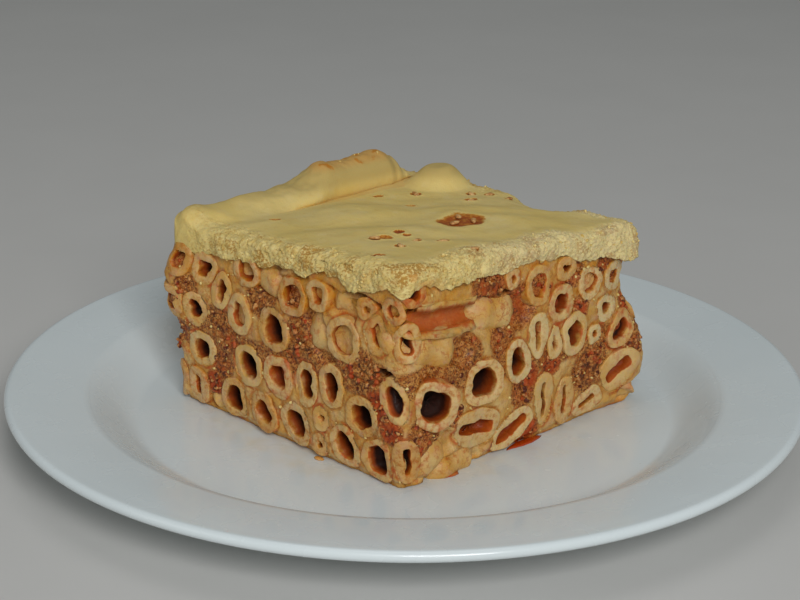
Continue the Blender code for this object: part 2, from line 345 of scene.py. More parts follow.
class PlateSettings(bpy.types.PropertyGroup):
    """Sizes and colours of the plate."""

    thickness: length_property("Thickness", 0.0032, "Thickness of the body")
    glaze: colour_property("Glaze", "E2EBED", "White porcelain under clear glaze")


class StageSettings(bpy.types.PropertyGroup):
    """Floor and light."""

    floor: colour_property("Floor", "C9C8C5", "Plain pale paper")
    light: FloatProperty(name="Light", description="Power of the key light", default=1.0, min=0.0)


class DishSettings(bpy.types.PropertyGroup):
    """All the settings of the dish."""

    macaroni: PointerProperty(type=MacaroniSettings)
    filling: PointerProperty(type=FillingSettings)
    pastry: PointerProperty(type=PastrySettings)
    plate: PointerProperty(type=PlateSettings)
    stage: PointerProperty(type=StageSettings)


# ---------------------------------------------------------------------------------------------
# Heights and the plan.


def smooth(share):
    """Smoothstep of a share from 0 to 1."""
    share = np.clip(share, 0.0, 1.0)
    return share * share * (3 - 2 * share)


def wave(x, y, size, seed):
    """The solids' own unevenness, between about -1 and 1, with humps size across."""
    x, y = np.broadcast_arrays(np.asarray(x, float), np.asarray(y, float))
    found = [noise.noise((a / size, b / size, seed)) for a, b in zip(x.ravel(), y.ravel())]
    return np.array(found).reshape(x.shape)


def humps(points, size, seed):
    """Smooth unevenness between about -1 and 1 at points in space, with humps size across."""
    return np.array([noise.noise((x / size + seed, y / size, z / size - seed)) for x, y, z in points])


def granules(points, size, seed):
    """1 in the middle of each granule and 0 in the cracks between them."""
    found = [
        noise.voronoi((x / size + seed, y / size - seed, z / size), distance_metric="DISTANCE")[0]
        for x, y, z in points
    ]
    first, second = np.array([near[0] for near in found]), np.array([near[1] for near in found])
    return np.clip((second - first) * 1.6, 0.0, 1.0)


def between_corners(heights, x, y):
    """Height at x, y, blended from the four corners of the cut."""
    right = 0.5 + 0.5 * np.clip(x / HALF_X, -1.0, 1.0)
    back = 0.5 + 0.5 * np.clip(y / HALF_Y, -1.0, 1.0)
    front_edge = heights["left"] * (1 - right) + heights["near"] * right
    back_edge = heights["back"] * (1 - right) + heights["right"] * right
    return front_edge * (1 - back) + back_edge * back


def crust_top(x, y):
    """Top of the pastry sheet without its rolled edge."""
    height = between_corners(TOP_AT_CORNERS, x, y) + 0.8 * wave(x, y, 22.0, 3.0)
    for blister_x, blister_y, radius, rise in BLISTERS:
        reach = np.hypot(x - blister_x, y - blister_y) / radius
        height = height + rise * smooth(1.3 - reach)
    return height


def crust_bottom(x, y):
    """Underside of the pastry sheet, where macaroni press into it."""
    level = between_corners(UNDER_CRUST_AT_CORNERS, x, y)
    return level + 0.9 * wave(x, y, 15.0, 9.0)


def mince_bottom(x, y):
    """Underside of the meat layer."""
    return between_corners(MINCE_AT_CORNERS, x, y) + 2.2 * wave(x, y, 18.0, 21.0)


def mince_top(x, y):
    """Upper side of the meat layer."""
    return mince_bottom(x, y) + MINCE_THICKNESS * (1.0 + 0.35 * wave(x, y, 15.0, 33.0))


def around_at(side, along):
    """Distance round the cut, from the front-left corner, of a point along one side."""
    along = np.asarray(along, float)
    length = SIDE_LENGTHS[side]
    arc = HALF_ARC / CORNER
    near = along * arc
    straight = HALF_ARC + along - CORNER
    far = 2 * HALF_ARC + length - 2 * CORNER - (length - along) * arc
    run = np.where(along < CORNER, near, np.where(along > length - CORNER, far, straight))
    return SIDE_STARTS[side] + run


def plan_at(around):
    """x, y and the outward direction of points round the cut's plan, whose corners are round."""
    around = np.mod(np.asarray(around, float), AROUND)
    x, y = np.zeros_like(around), np.zeros_like(around)
    out_x, out_y = np.zeros_like(around), np.zeros_like(around)
    corners = ((-1, -1), (1, -1), (1, 1), (-1, 1))
    outwards = ((0, -1), (1, 0), (0, 1), (-1, 0))
    for index, side in enumerate(SIDES):
        start, length = SIDE_STARTS[side], SIDE_LENGTHS[side]
        run = around - start
        whole = length - 2 * CORNER + 2 * HALF_ARC
        here = (run >= -1e-9) & (run < whole)
        facing = math.atan2(outwards[index][1], outwards[index][0])
        turned = np.where(
            run < HALF_ARC,
            (run - HALF_ARC) / CORNER,
            np.where(run > whole - HALF_ARC, (run - whole + HALF_ARC) / CORNER, 0.0),
        )
        direction = facing + turned
        straight = np.clip(run - HALF_ARC, 0.0, length - 2 * CORNER)
        sign_x, sign_y = corners[index]
        run_x, run_y = -outwards[index][1], outwards[index][0]
        hub_x = sign_x * (HALF_X - CORNER) + run_x * straight
        hub_y = sign_y * (HALF_Y - CORNER) + run_y * straight
        x = np.where(here, hub_x + CORNER * np.cos(direction), x)
        y = np.where(here, hub_y + CORNER * np.sin(direction), y)
        out_x = np.where(here, np.cos(direction), out_x)
        out_y = np.where(here, np.sin(direction), out_y)
    return x, y, out_x, out_y


def apart(first, second):
    """Signed distance round the cut from second to first, the short way."""
    return np.mod(first - second + AROUND / 2, AROUND) - AROUND / 2


def side_bulge(around, up):
    """How far the side stands out of the plan: a soft belly, and the dents and bulges of the cut."""
    x, y, _, _ = plan_at(around)
    belly = 0.9 * np.sin(np.pi * np.clip(up / 46.0, 0, 1)) - 0.5
    bulge = belly + 0.9 * wave(x + 40.0, y + up, 22.0, 51.0)
    for side, along, height, wide, tall, out in SIDE_BULGES:
        near = apart(around, around_at(side, along)) / wide
        bulge = bulge + out * np.exp(-(near**2) - ((up - height) / tall) ** 2)
    return bulge


def side_point(around, up, out=0.0):
    """Points on the side of the cut, out millimetres in front of it."""
    x, y, out_x, out_y = plan_at(around)
    reach = side_bulge(around, up) + out
    return np.stack([x + out_x * reach, y + out_y * reach, up + 0 * x], axis=-1)


# ---------------------------------------------------------------------------------------------
# Meshes and materials.


def make_piece(name, points, faces, finish, paint):
    """A smooth piece from points in millimetres, with a painted value per point for each name."""
    origin = np.array([CUT_CENTRE_X, CUT_CENTRE_Y, PLATE_FLOOR])
    mesh = bpy.data.meshes.new(name)
    mesh.from_pydata(((np.asarray(points) + origin) * MM).tolist(), [], faces)
    for key, values in paint.items():
        layer = mesh.attributes.new(key, "FLOAT", "POINT")
        layer.data.foreach_set("value", np.asarray(values, np.float32))
    bm = bmesh.new()
    bm.from_mesh(mesh)
    bmesh.ops.recalc_face_normals(bm, faces=bm.faces)
    bm.to_mesh(mesh)
    bm.free()
    mesh.shade_smooth()
    mesh.materials.append(finish)
    piece = bpy.data.objects.new(name, mesh)
    bpy.context.scene.collection.objects.link(piece)
    return piece


def grid_faces(rows, columns, closed_columns=False, closed_rows=False, start=0):
    """Quads of a grid of points stored row by row."""
    faces = []
    for row in range(rows if closed_rows else rows - 1):
        below, above = start + row * columns, start + (row + 1) % rows * columns
        for column in range(columns if closed_columns else columns - 1):
            after = (column + 1) % columns
            faces.append((below + column, below + after, above + after, above + column))
    return faces


def join_rings(faces, first, second):
    """Adds the quads between two closed rings of points."""
    for i in range(len(first)):
        after = (i + 1) % len(first)
        faces.append((first[i], first[after], second[after], second[i]))


def close_ring(faces, ring, middle):
    """Adds the triangles between a closed ring of points and one point in its middle."""
    for i in range(len(ring)):
        faces.append((ring[i], ring[(i + 1) % len(ring)], middle))


def dress(piece, slot, *nodes):
    """Lets a finished piece ride on the dish and stand for the solids that it covers."""
    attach(piece, "root")
    if nodes:
        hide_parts(*nodes)
    return piece


def add_node(tree, kind, settings=None, links=None):
    """Adds a node. settings holds its properties and sockets' values, links its sockets' sources."""
    node = tree.nodes.new(kind)
    for key, value in (settings or {}).items():
        if isinstance(key, str) and hasattr(node, key):
            setattr(node, key, value)
        else:
            node.inputs[key].default_value = value
    for key, source in (links or {}).items():
        tree.links.new(source, node.inputs[key])
    return node


def new_finish(name):
    """An empty material and its node tree."""
    finish = bpy.data.materials.new(name)
    finish.use_nodes = True
    finish.node_tree.nodes.clear()
    return finish, finish.node_tree


def place(tree):
    """Object coordinates in metres."""
    return add_node(tree, "ShaderNodeTexCoord").outputs["Object"]


def speckle(tree, where, millimetres, detail=3.0, roughness=0.55):
    """A noise between 0 and 1 whose features are about this many millimetres across."""
    settings = {"Scale": 1.0 / (millimetres * MM), "Detail": detail, "Roughness": roughness}
    return add_node(tree, "ShaderNodeTexNoise", settings, {"Vector": where}).outputs["Fac"]


def stretch(tree, value, low, high, to_low=0.0, to_high=1.0):
    """Maps low..high of a value to to_low..to_high, smoothly and clamped."""
    settings = {"From Min": low, "From Max": high, "To Min": to_low, "To Max": to_high}
    settings["interpolation_type"] = "SMOOTHSTEP"
    return add_node(tree, "ShaderNodeMapRange", settings, {"Value": value}).outputs["Result"]


def arithmetic(tree, operation, first, second):
    """One step of arithmetic on two values, each a socket or a number."""
    node = add_node(tree, "ShaderNodeMath", {"operation": operation})
    for index, value in enumerate((first, second)):
        if isinstance(value, (int, float)):
            node.inputs[index].default_value = value
        else:
            tree.links.new(value, node.inputs[index])
    return node.outputs[0]


def blend(tree, share, first, second):
    """Mixes two colours, each a socket, a hex string or linear RGB."""
    node = add_node(tree, "ShaderNodeMix", {"data_type": "RGBA", "blend_type": "MIX"})
    if isinstance(share, (int, float)):
        node.inputs[0].default_value = share
    else:
        tree.links.new(share, node.inputs[0])
    for index, value in ((6, first), (7, second)):
        if isinstance(value, bpy.types.NodeSocket):
            tree.links.new(value, node.inputs[index])
        else:
            rgb = linear(value) if isinstance(value, str) else tuple(value)
            node.inputs[index].default_value = (*rgb, 1.0)
    return node.outputs[2]


def painted(tree, name):
    """The value painted on the piece's points."""
    return add_node(tree, "ShaderNodeAttribute", {"attribute_name": name}).outputs["Fac"]


def relief(tree, height, millimetres, strength=1.0, under=None):
    """A bump of this depth, over another bump if one is given."""
    settings, links = {"Distance": millimetres * MM}, {"Height": height}
    (settings if isinstance(strength, float) else links)["Strength"] = strength
    if under is not None:
        links["Normal"] = under
    return add_node(tree, "ShaderNodeBump", settings, links).outputs["Normal"]


def finish_with(tree, settings, links):
    """The surface shader and the output."""
    shader = add_node(tree, "ShaderNodeBsdfPrincipled", settings, links)
    add_node(tree, "ShaderNodeOutputMaterial", None, {"Surface": shader.outputs[0]})


def pasta_colour(tree, where, settings):
    """Colour of cooked pasta, and the mottle that goes with it.

    It is pale on a cut rim, yellow where butter soaked in and orange where sauce did, and thin
    lines of tomato oil run over it.
    """
    patches = speckle(tree, where, 6.0, 3.0)
    mottle = speckle(tree, where, 1.5, 4.0, 0.65)
    flesh = blend(tree, stretch(tree, patches, 0.35, 0.65), settings.flesh, settings.pale)
    soak = arithmetic(tree, "MULTIPLY", stretch(tree, mottle, 0.40, 0.72), 0.6)
    soak = arithmetic(tree, "ADD", soak, painted(tree, "soak"))
    flesh = blend(tree, stretch(tree, soak, 0.20, 1.15, 0.0, 0.95), flesh, settings.soaked)
    pink = stretch(tree, speckle(tree, where, 3.4, 4.0), 0.50, 0.68, 0.0, 0.5)
    flesh = blend(tree, pink, flesh, "D2A078")
    butter = arithmetic(tree, "ADD", speckle(tree, where, 4.0, 3.0), painted(tree, "butter"))
    flesh = blend(tree, stretch(tree, butter, 0.55, 1.0, 0.0, 0.75), flesh, "CE8A18")
    rim = arithmetic(tree, "MULTIPLY", painted(tree, "rim"), stretch(tree, mottle, 0.95, 0.30))
    flesh = blend(tree, stretch(tree, rim, 0.0, 1.0, 0.0, 0.85), flesh, settings.rim)
    oil = arithmetic(tree, "ADD", speckle(tree, where, 3.0, 4.0), painted(tree, "oil"))
    flesh = blend(tree, stretch(tree, oil, 0.60, 0.95, 0.0, 0.85), flesh, "BC500A")
    lines = arithmetic(tree, "SUBTRACT", speckle(tree, where, 7.0, 6.0, 0.6), 0.5)
    lines = stretch(tree, arithmetic(tree, "ABSOLUTE", lines, 0.0), 0.022, 0.004)
    lines = arithmetic(tree, "MULTIPLY", lines, stretch(tree, speckle(tree, where, 9.0, 2.0), 0.44, 0.60))
    lines = arithmetic(tree, "MULTIPLY", lines, stretch(tree, painted(tree, "rim"), 0.3, 0.0))
    return blend(tree, stretch(tree, lines, 0.0, 1.0, 0.0, 0.55), flesh, "B2500E"), mottle


def macaroni_finish(settings):
    """Boiled and baked durum wheat macaroni: starch that light enters, under a moist skin.

    Down the bore the colour turns brown, where meat juices line it, and then near black deeper in, which is
    painted shade.
    """
    finish, tree = new_finish("cooked_macaroni")
    where = place(tree)
    flesh, mottle = pasta_colour(tree, where, settings)
    uneven = arithmetic(tree, "MULTIPLY", speckle(tree, where, 2.2, 3.0), 0.16)
    depth = arithmetic(tree, "ADD", painted(tree, "depth"), arithmetic(tree, "SUBTRACT", uneven, 0.08))
    lining_and_shade = blend(tree, stretch(tree, depth, 0.01, 0.13, 0.0, 0.95), flesh, "963C02")
    # Deeper down the bore the colour goes near black: painted shade.
    lining_and_shade = blend(tree, stretch(tree, depth, 0.11, 0.36, 0.0, 0.98), lining_and_shade, "260A00")
    rough = stretch(tree, arithmetic(tree, "ADD", mottle, depth), 0.3, 0.9, 0.34, 0.75)
    fine = speckle(tree, where, 0.45, 3.0)
    normal = relief(tree, mottle, 0.3)
    normal = relief(tree, fine, 0.08, 0.8, normal)
    finish_with(
        tree,
        {
            "IOR": 1.38,
            "Subsurface Weight": 0.30,
            "Subsurface Radius": (1.0, 0.50, 0.18),
            "Subsurface Scale": 0.0018,
            "Coat Weight": 0.06,
            "Coat Roughness": 0.2,
        },
        {"Base Color": lining_and_shade, "Roughness": rough, "Normal": normal},
    )
    return finish


def filling_finish(settings, pasta):
    """Pasta and starch set between the macaroni, with minced meat and tomato oil: moist and lumpy.

    Meat is grey-brown, with painted shade in the cracks between its lumps, and the oil stains it orange to
    red.
    """
    finish, tree = new_finish("meat_sauce_and_cream")
    where = place(tree)
    patches = speckle(tree, where, 4.5, 3.0)
    mottle = speckle(tree, where, 1.3, 4.0, 0.7)
    fine = speckle(tree, where, 0.5, 3.0)
    meat_share = arithmetic(tree, "ADD", painted(tree, "meat"), arithmetic(tree, "MULTIPLY", mottle, 0.5))
    streaks = arithmetic(tree, "MULTIPLY", speckle(tree, where, 2.6, 4.0, 0.65), 1.1)
    red_share = arithmetic(tree, "ADD", painted(tree, "red"), streaks)
    cream, _ = pasta_colour(tree, where, pasta)
    cream = blend(tree, stretch(tree, patches, 0.45, 0.7, 0.0, 0.6), cream, settings.cream)
    meat = blend(tree, stretch(tree, mottle, 0.40, 0.60), settings.meat, "CC9048")
    meat = blend(tree, stretch(tree, fine, 0.47, 0.64, 0.0, 0.9), meat, "561C00")
    stuff = blend(tree, stretch(tree, meat_share, 0.45, 0.75), cream, meat)
    stuff = blend(tree, stretch(tree, red_share, 0.80, 1.45, 0.0, 0.88), stuff, settings.sauce)
    # Pits, slots and open bores are painted near black: painted shade.
    pits = blend(tree, painted(tree, "depth"), stuff, "2A0A01")
    # The cracks between the meat's lumps are painted dark: painted shade.
    cracks = blend(tree, stretch(tree, painted(tree, "crack_shade"), 0.2, 1.0, 0.0, 0.85), pits, "3A1204")
    normal = relief(tree, mottle, 0.5)
    normal = relief(tree, fine, 0.18, 0.9, normal)
    finish_with(
        tree,
        {
            "IOR": 1.38,
            "Subsurface Weight": 0.12,
            "Subsurface Radius": (1.0, 0.4, 0.12),
            "Subsurface Scale": 0.0012,
            "Coat Weight": 0.08,
            "Coat Roughness": 0.2,
        },
        {
            "Base Color": cracks,
            "Roughness": stretch(tree, mottle, 0.3, 0.7, 0.35, 0.6),
            "Normal": normal,
        },
    )
    return finish


def mince_finish(settings):
    """Loose grains of browned minced meat, wet with sauce."""
    finish, tree = new_finish("minced_meat_grains")
    where = place(tree)
    mottle = speckle(tree, where, 0.9, 4.0, 0.7)
    patches = speckle(tree, where, 5.0, 2.0)
    meat = blend(tree, stretch(tree, mottle, 0.40, 0.62), settings.meat, "D6A060")
    meat = blend(tree, stretch(tree, speckle(tree, where, 1.6, 2.0), 0.44, 0.60), meat, "561C00")
    meat = blend(tree, stretch(tree, patches, 0.50, 0.66, 0.0, 0.8), meat, settings.sauce)
    normal = relief(tree, mottle, 0.3)
    finish_with(
        tree,
        {"IOR": 1.38, "Coat Weight": 0.08, "Coat Roughness": 0.3},
        {"Base Color": meat, "Roughness": stretch(tree, mottle, 0.3, 0.7, 0.4, 0.65), "Normal": normal},
    )
    return finish


def pastry_finish(settings):
    """Pale shortcrust: matt and close on top, grainy and lighter where it broke under the knife."""
    finish, tree = new_finish("baked_shortcrust")
    where = place(tree)
    patches = speckle(tree, where, 22.0, 2.0)
    mottle = speckle(tree, where, 2.4, 5.0, 0.6)
    fine = speckle(tree, where, 0.35, 3.0, 0.6)
    broken = painted(tree, "broken")
    surface = blend(tree, stretch(tree, patches, 0.35, 0.65, 0.0, 0.6), settings.surface, "E4CC86")
    surface = blend(tree, stretch(tree, mottle, 0.5, 0.8, 0.0, 0.3), surface, "C8A050")
    pale = stretch(tree, speckle(tree, where, 5.0, 3.0), 0.5, 0.75, 0.0, 0.3)
    surface = blend(tree, pale, surface, "E6D29A")
    # Raised parts of the top are painted darker: painted shade, and partly a deeper bake.
    surface = blend(tree, stretch(tree, painted(tree, "raised"), 0.0, 1.0, 0.0, 0.9), surface, "C2A865")
    grain = speckle(tree, where, 0.7, 3.0, 0.6)
    inside = blend(tree, stretch(tree, mottle, 0.35, 0.7), settings.inside, "DABC6C")
    pores = arithmetic(tree, "ADD", grain, arithmetic(tree, "MULTIPLY", painted(tree, "porous"), 0.16))
    inside = blend(tree, stretch(tree, pores, 0.56, 0.70, 0.0, 0.8), inside, "B07A20")
    inside = blend(tree, stretch(tree, grain, 0.34, 0.24, 0.0, 0.6), inside, "EEE0B0")
    # Cracks between the granules of the broken edge are painted darker: painted shade.
    inside = blend(tree, stretch(tree, painted(tree, "crack_shade"), 0.5, 1.0, 0.0, 0.35), inside, "A06A24")
    dusted = stretch(tree, mottle, 0.3, 0.7, 0.10, 0.42)
    floury = arithmetic(tree, "MULTIPLY", painted(tree, "floury"), dusted)
    inside = blend(tree, floury, inside, "EEE4BE")
    surface = blend(tree, broken, surface, inside)
    # Golden comes from the crest, the pan side and the near corner, and from painted shade in the roll's
    # crease.
    golden = stretch(tree, painted(tree, "golden"), 0.0, 1.0, 0.0, 0.8)
    surface = blend(tree, golden, surface, "D0974A")
    uneven = arithmetic(tree, "MULTIPLY", speckle(tree, where, 1.6, 4.0, 0.65), 1.6)
    uneven = arithmetic(tree, "SUBTRACT", uneven, 0.8)
    browned = painted(tree, "browned")
    brown_share = arithmetic(tree, "ADD", browned, uneven)
    brown_share = arithmetic(tree, "MULTIPLY", brown_share, stretch(tree, browned, 0.0, 0.25))
    surface = blend(tree, stretch(tree, brown_share, 0.0, 0.35, 0.0, 0.9), surface, "C07814")
    surface = blend(tree, stretch(tree, brown_share, 0.35, 0.75, 0.0, 0.9), surface, "9C4606")
    surface = blend(tree, stretch(tree, brown_share, 0.80, 1.15, 0.0, 0.95), surface, settings.browned)
    normal = relief(tree, mottle, 0.25, 0.6)
    normal = relief(tree, grain, 0.25, stretch(tree, broken, 0.0, 0.6, 0.1, 1.0), normal)
    normal = relief(tree, fine, 0.08, 0.6, normal)
    finish_with(
        tree,
        {
            "IOR": 1.40,
            "Subsurface Weight": 0.12,
            "Subsurface Radius": (1.0, 0.6, 0.3),
            "Subsurface Scale": 0.0015,
        },
        {
            "Base Color": surface,
            "Roughness": stretch(tree, brown_share, 0.2, 0.8, 0.78, 0.64),
            "Normal": normal,
        },
    )
    return finish


def crumb_finish(settings):
    """Loose crumbs of the shortcrust's pale inside."""
    finish, tree = new_finish("shortcrust_crumbs")
    where = place(tree)
    mottle = speckle(tree, where, 1.2, 3.0)
    crumb = blend(tree, stretch(tree, mottle, 0.35, 0.65), settings.inside, "CCAA5C")
    finish_with(
        tree,
        {"IOR": 1.45},
        {
            "Base Color": crumb,
            "Roughness": stretch(tree, mottle, 0.2, 0.8, 0.7, 0.9),
            "Normal": relief(tree, speckle(tree, where, 0.3, 2.0), 0.08),
        },
    )
    return finish


def seed_finish():
    """Toasted sesame: a hard, faintly glossy hull, cream to light brown."""
    finish, tree = new_finish("toasted_sesame")
    where = place(tree)
    mottle = speckle(tree, where, 1.4, 3.0)
    hull = blend(tree, stretch(tree, mottle, 0.35, 0.65), "DCB070", "A86E30")
    finish_with(
        tree,
        {"IOR": 1.45, "Subsurface Weight": 0.1, "Subsurface Scale": 0.0008, "Coat Weight": 0.2},
        {
            "Base Color": hull,
            "Roughness": stretch(tree, mottle, 0.2, 0.8, 0.4, 0.6),
            "Normal": relief(tree, speckle(tree, where, 0.5, 2.0), 0.05),
        },
    )
    return finish


def glaze_finish(settings):
    """White porcelain under a clear glaze: a cool white body, a sharp gloss, and faint waviness.

    A few grey pin-holes and a film of grease near the food mark the body's colour.
    """
    finish, tree = new_finish("glazed_porcelain")
    where = place(tree)
    body = blend(tree, speckle(tree, where, 45.0, 2.0), settings.glaze, "D8E2E4")
    specks = stretch(tree, speckle(tree, where, 1.1, 1.0), 0.76, 0.82, 0.0, 0.5)
    body = blend(tree, specks, body, "C9CCC8")
    grease = arithmetic(tree, "MULTIPLY", painted(tree, "grease"), speckle(tree, where, 9.0, 4.0))
    body = blend(tree, stretch(tree, grease, 0.30, 0.75, 0.0, 0.35), body, "D9C79A")
    rough = stretch(tree, speckle(tree, where, 14.0, 3.0), 0.3, 0.7, 0.18, 0.32)
    normal = relief(tree, speckle(tree, where, 26.0, 1.0), 0.25, 0.5)
    finish_with(
        tree,
        {"IOR": 1.45, "Coat Weight": 0.25, "Coat Roughness": 0.08, "Coat IOR": 1.5},
        {"Base Color": body, "Roughness": rough, "Normal": normal},
    )
    return finish


def juice_finish(settings):
    """A thin film of tomato oil on the plate: clear gloss over orange to red."""
    finish, tree = new_finish("tomato_oil")
    where = place(tree)
    tone = arithmetic(tree, "ADD", painted(tree, "red"), speckle(tree, where, 2.5, 3.0))
    juice = blend(tree, stretch(tree, tone, 0.6, 1.4), "D69A4C", settings.sauce)
    finish_with(
        tree,
        {
            "IOR": 1.46,
            "Coat Weight": 0.6,
            "Coat Roughness": 0.08,
            "Subsurface Weight": 0.1,
            "Subsurface Scale": 0.001,
        },
        {
            "Base Color": juice,
            "Roughness": stretch(tree, speckle(tree, where, 1.5, 3.0), 0.3, 0.7, 0.15, 0.4),
            "Normal": relief(tree, speckle(tree, where, 0.9, 3.0), 0.15),
        },
    )
    return finish


# ---------------------------------------------------------------------------------------------
# Macaroni.

BEARINGS = np.linspace(0.0, 2 * np.pi, 56, endpoint=False)
PAINTS = ("depth", "soak", "oil", "butter", "rim")
# How many rings of a macaroni end, counted from the back, lie on its outer skin.
SKIN_ROWS = 5
# What fills a bore: how far down it stands, and how red it is. Other bores stay open.
BORE_FILLED = {"cream": (2.4, 0.12), "meat": (2.0, 0.45), "half": (5.0, 0.7), "tan": (5.0, 0.5)}
# Half widths of the bores that were pressed nearly shut, and the depth of the wider ones.
SLIT_HALF, MOUTH_HALF, MOUTH_DEPTH = 0.9, 1.9, 3.6
# Ends that stand out of the cut or face another way: side, along, proud, degrees turned.
STANDING = (("right", 10.8, 2.4, -24.0), ("front", 92.0, -1.0, 0.0), ("right", 29.6, 0.8, -8.0))


def hidden_ends(side, seed):
    """Ends on a side that was cut too, in staggered rows."""
    draw = random.Random(seed)
    ends = []
    for row, up in enumerate((6.8, 18.4, 30.4, 41.6)):
        along = 5.0 + 5.5 * (row % 2)
        while along < SIDE_LENGTHS[side] - 3.0:
            kind = draw.choice(("open", "open", "open", "half", "cream", "meat", "slit"))
            wide = draw.uniform(8.4, 10.0) if kind == "slit" else draw.uniform(10.4, 12.8)
            tall = draw.uniform(11.4, 13.4)
            keep = draw.random() > (0.35 if row == 1 else 0.08)
            if keep:
                place_up = up + draw.uniform(-1.2, 1.2)
                ends.append((along, place_up, wide, tall, draw.uniform(-25, 25), kind))
            along += wide + draw.uniform(0.0, 1.6)
    return ends


def all_ends():
    """Every end as (distance round the cut, height, width, height, turn, what the bore holds)."""
    ends = []
    for side, chart in (("front", FRONT_ENDS), ("right", RIGHT_ENDS), ("back", hidden_ends("back", 7))):
        for along, up, wide, tall, turn, bore in chart:
            ends.append((side, float(around_at(side, along)), up, wide, tall, turn, bore))
    return ends


def oval(wide, tall, turn):
    """Radius of a rounded oval at every bearing."""
    turned = BEARINGS - math.radians(turn)
    across, upright = np.abs(np.cos(turned) / (wide / 2)), np.abs(np.sin(turned) / (tall / 2))
    return (across**2.2 + upright**2.2) ** (-1 / 2.2)


def soften(radius, limit):
    """The smaller of two radii, with a smooth turn from one to the other."""
    limit = np.maximum(limit, 0.8)
    return (radius**-9 + limit**-9) ** (-1 / 9)


def fitted_outlines(ends):
    """Outline of every end, pressed flat against its neighbours, the plate and the crust."""
    free = [oval(wide, tall, turn) for _, _, _, wide, tall, turn, _ in ends]
    outlines = []
    for i, (_, around, up, _, _, _, _) in enumerate(ends):
        radius = free[i] * (1 + 0.035 * np.sin(2 * BEARINGS + 1.7 * i) + 0.02 * np.sin(3 * BEARINGS + i))
        for j, (_, other_around, other_up, _, _, _, _) in enumerate(ends):
            across, rise = float(apart(other_around, around)), other_up - up
            distance = math.hypot(across, rise)
            if i == j or distance > 20.0:
                continue
            towards = math.atan2(rise, across)
            mine = np.interp(towards % (2 * np.pi), BEARINGS, free[i], period=2 * np.pi)
            theirs = np.interp((towards + np.pi) % (2 * np.pi), BEARINGS, free[j], period=2 * np.pi)
            if mine + theirs < distance - 0.6:
                continue
            face = distance * mine / (mine + theirs) - 0.12
            lined_up = np.maximum(np.cos(BEARINGS - towards), 0.02)
            radius = soften(radius, face / lined_up)
        down = np.maximum(-np.sin(BEARINGS), 0.02)
        radius = soften(radius, (up - 0.3) / down)
        outlines.append(radius)
    return outlines


def ruffled(points):
    """Points moved a little every way, as soft pasta is when a knife drags through it."""
    for size, reach in ((4.0, 0.55), (1.5, 0.14)):
        moves = [humps(points, size, seed) for seed in (61.0, 67.0, 71.0)]
        points = points + reach * np.stack(moves, axis=-1)
    return points


def end_frame(around, up, side=None, turned=0.0):
    """Middle of an end on the cut, and its directions along, up and outward."""
    x, y, out_x, out_y = (float(v) for v in plan_at(around))
    reach = float(side_bulge(np.array([around]), np.array([up]))[0])
    middle = np.array([x + out_x * reach, y + out_y * reach, up])
    facing = math.atan2(out_y, out_x)
    if side:
        # Near a corner an end keeps more of its own side's direction than the corner has.
        square = math.pi / 2 * (SIDES.index(side) - 1)
        facing = square + 0.45 * math.remainder(facing - square, 2 * math.pi)
    facing += math.radians(turned)
    outward = np.array([math.cos(facing), math.sin(facing), 0.0])
    return middle, np.array([-outward[1], outward[0], 0.0]), np.array([0, 0, 1.0]), outward


def bore_of(radius, axis, wall, kind):
    """Outline of the bore inside an outline. One that was pressed shut is long towards its axis."""
    if kind in ("slit", "mouth"):
        half = SLIT_HALF if kind == "slit" else MOUTH_HALF
        narrow = half / np.maximum(np.abs(np.sin(BEARINGS - axis)), 0.08)
        inner = soften(np.maximum(radius - wall * 1.05, 0.9), narrow)
        return np.clip(inner, 0.45, radius - 1.2)
    return np.clip(radius - wall, 0.9, radius - 1.3)


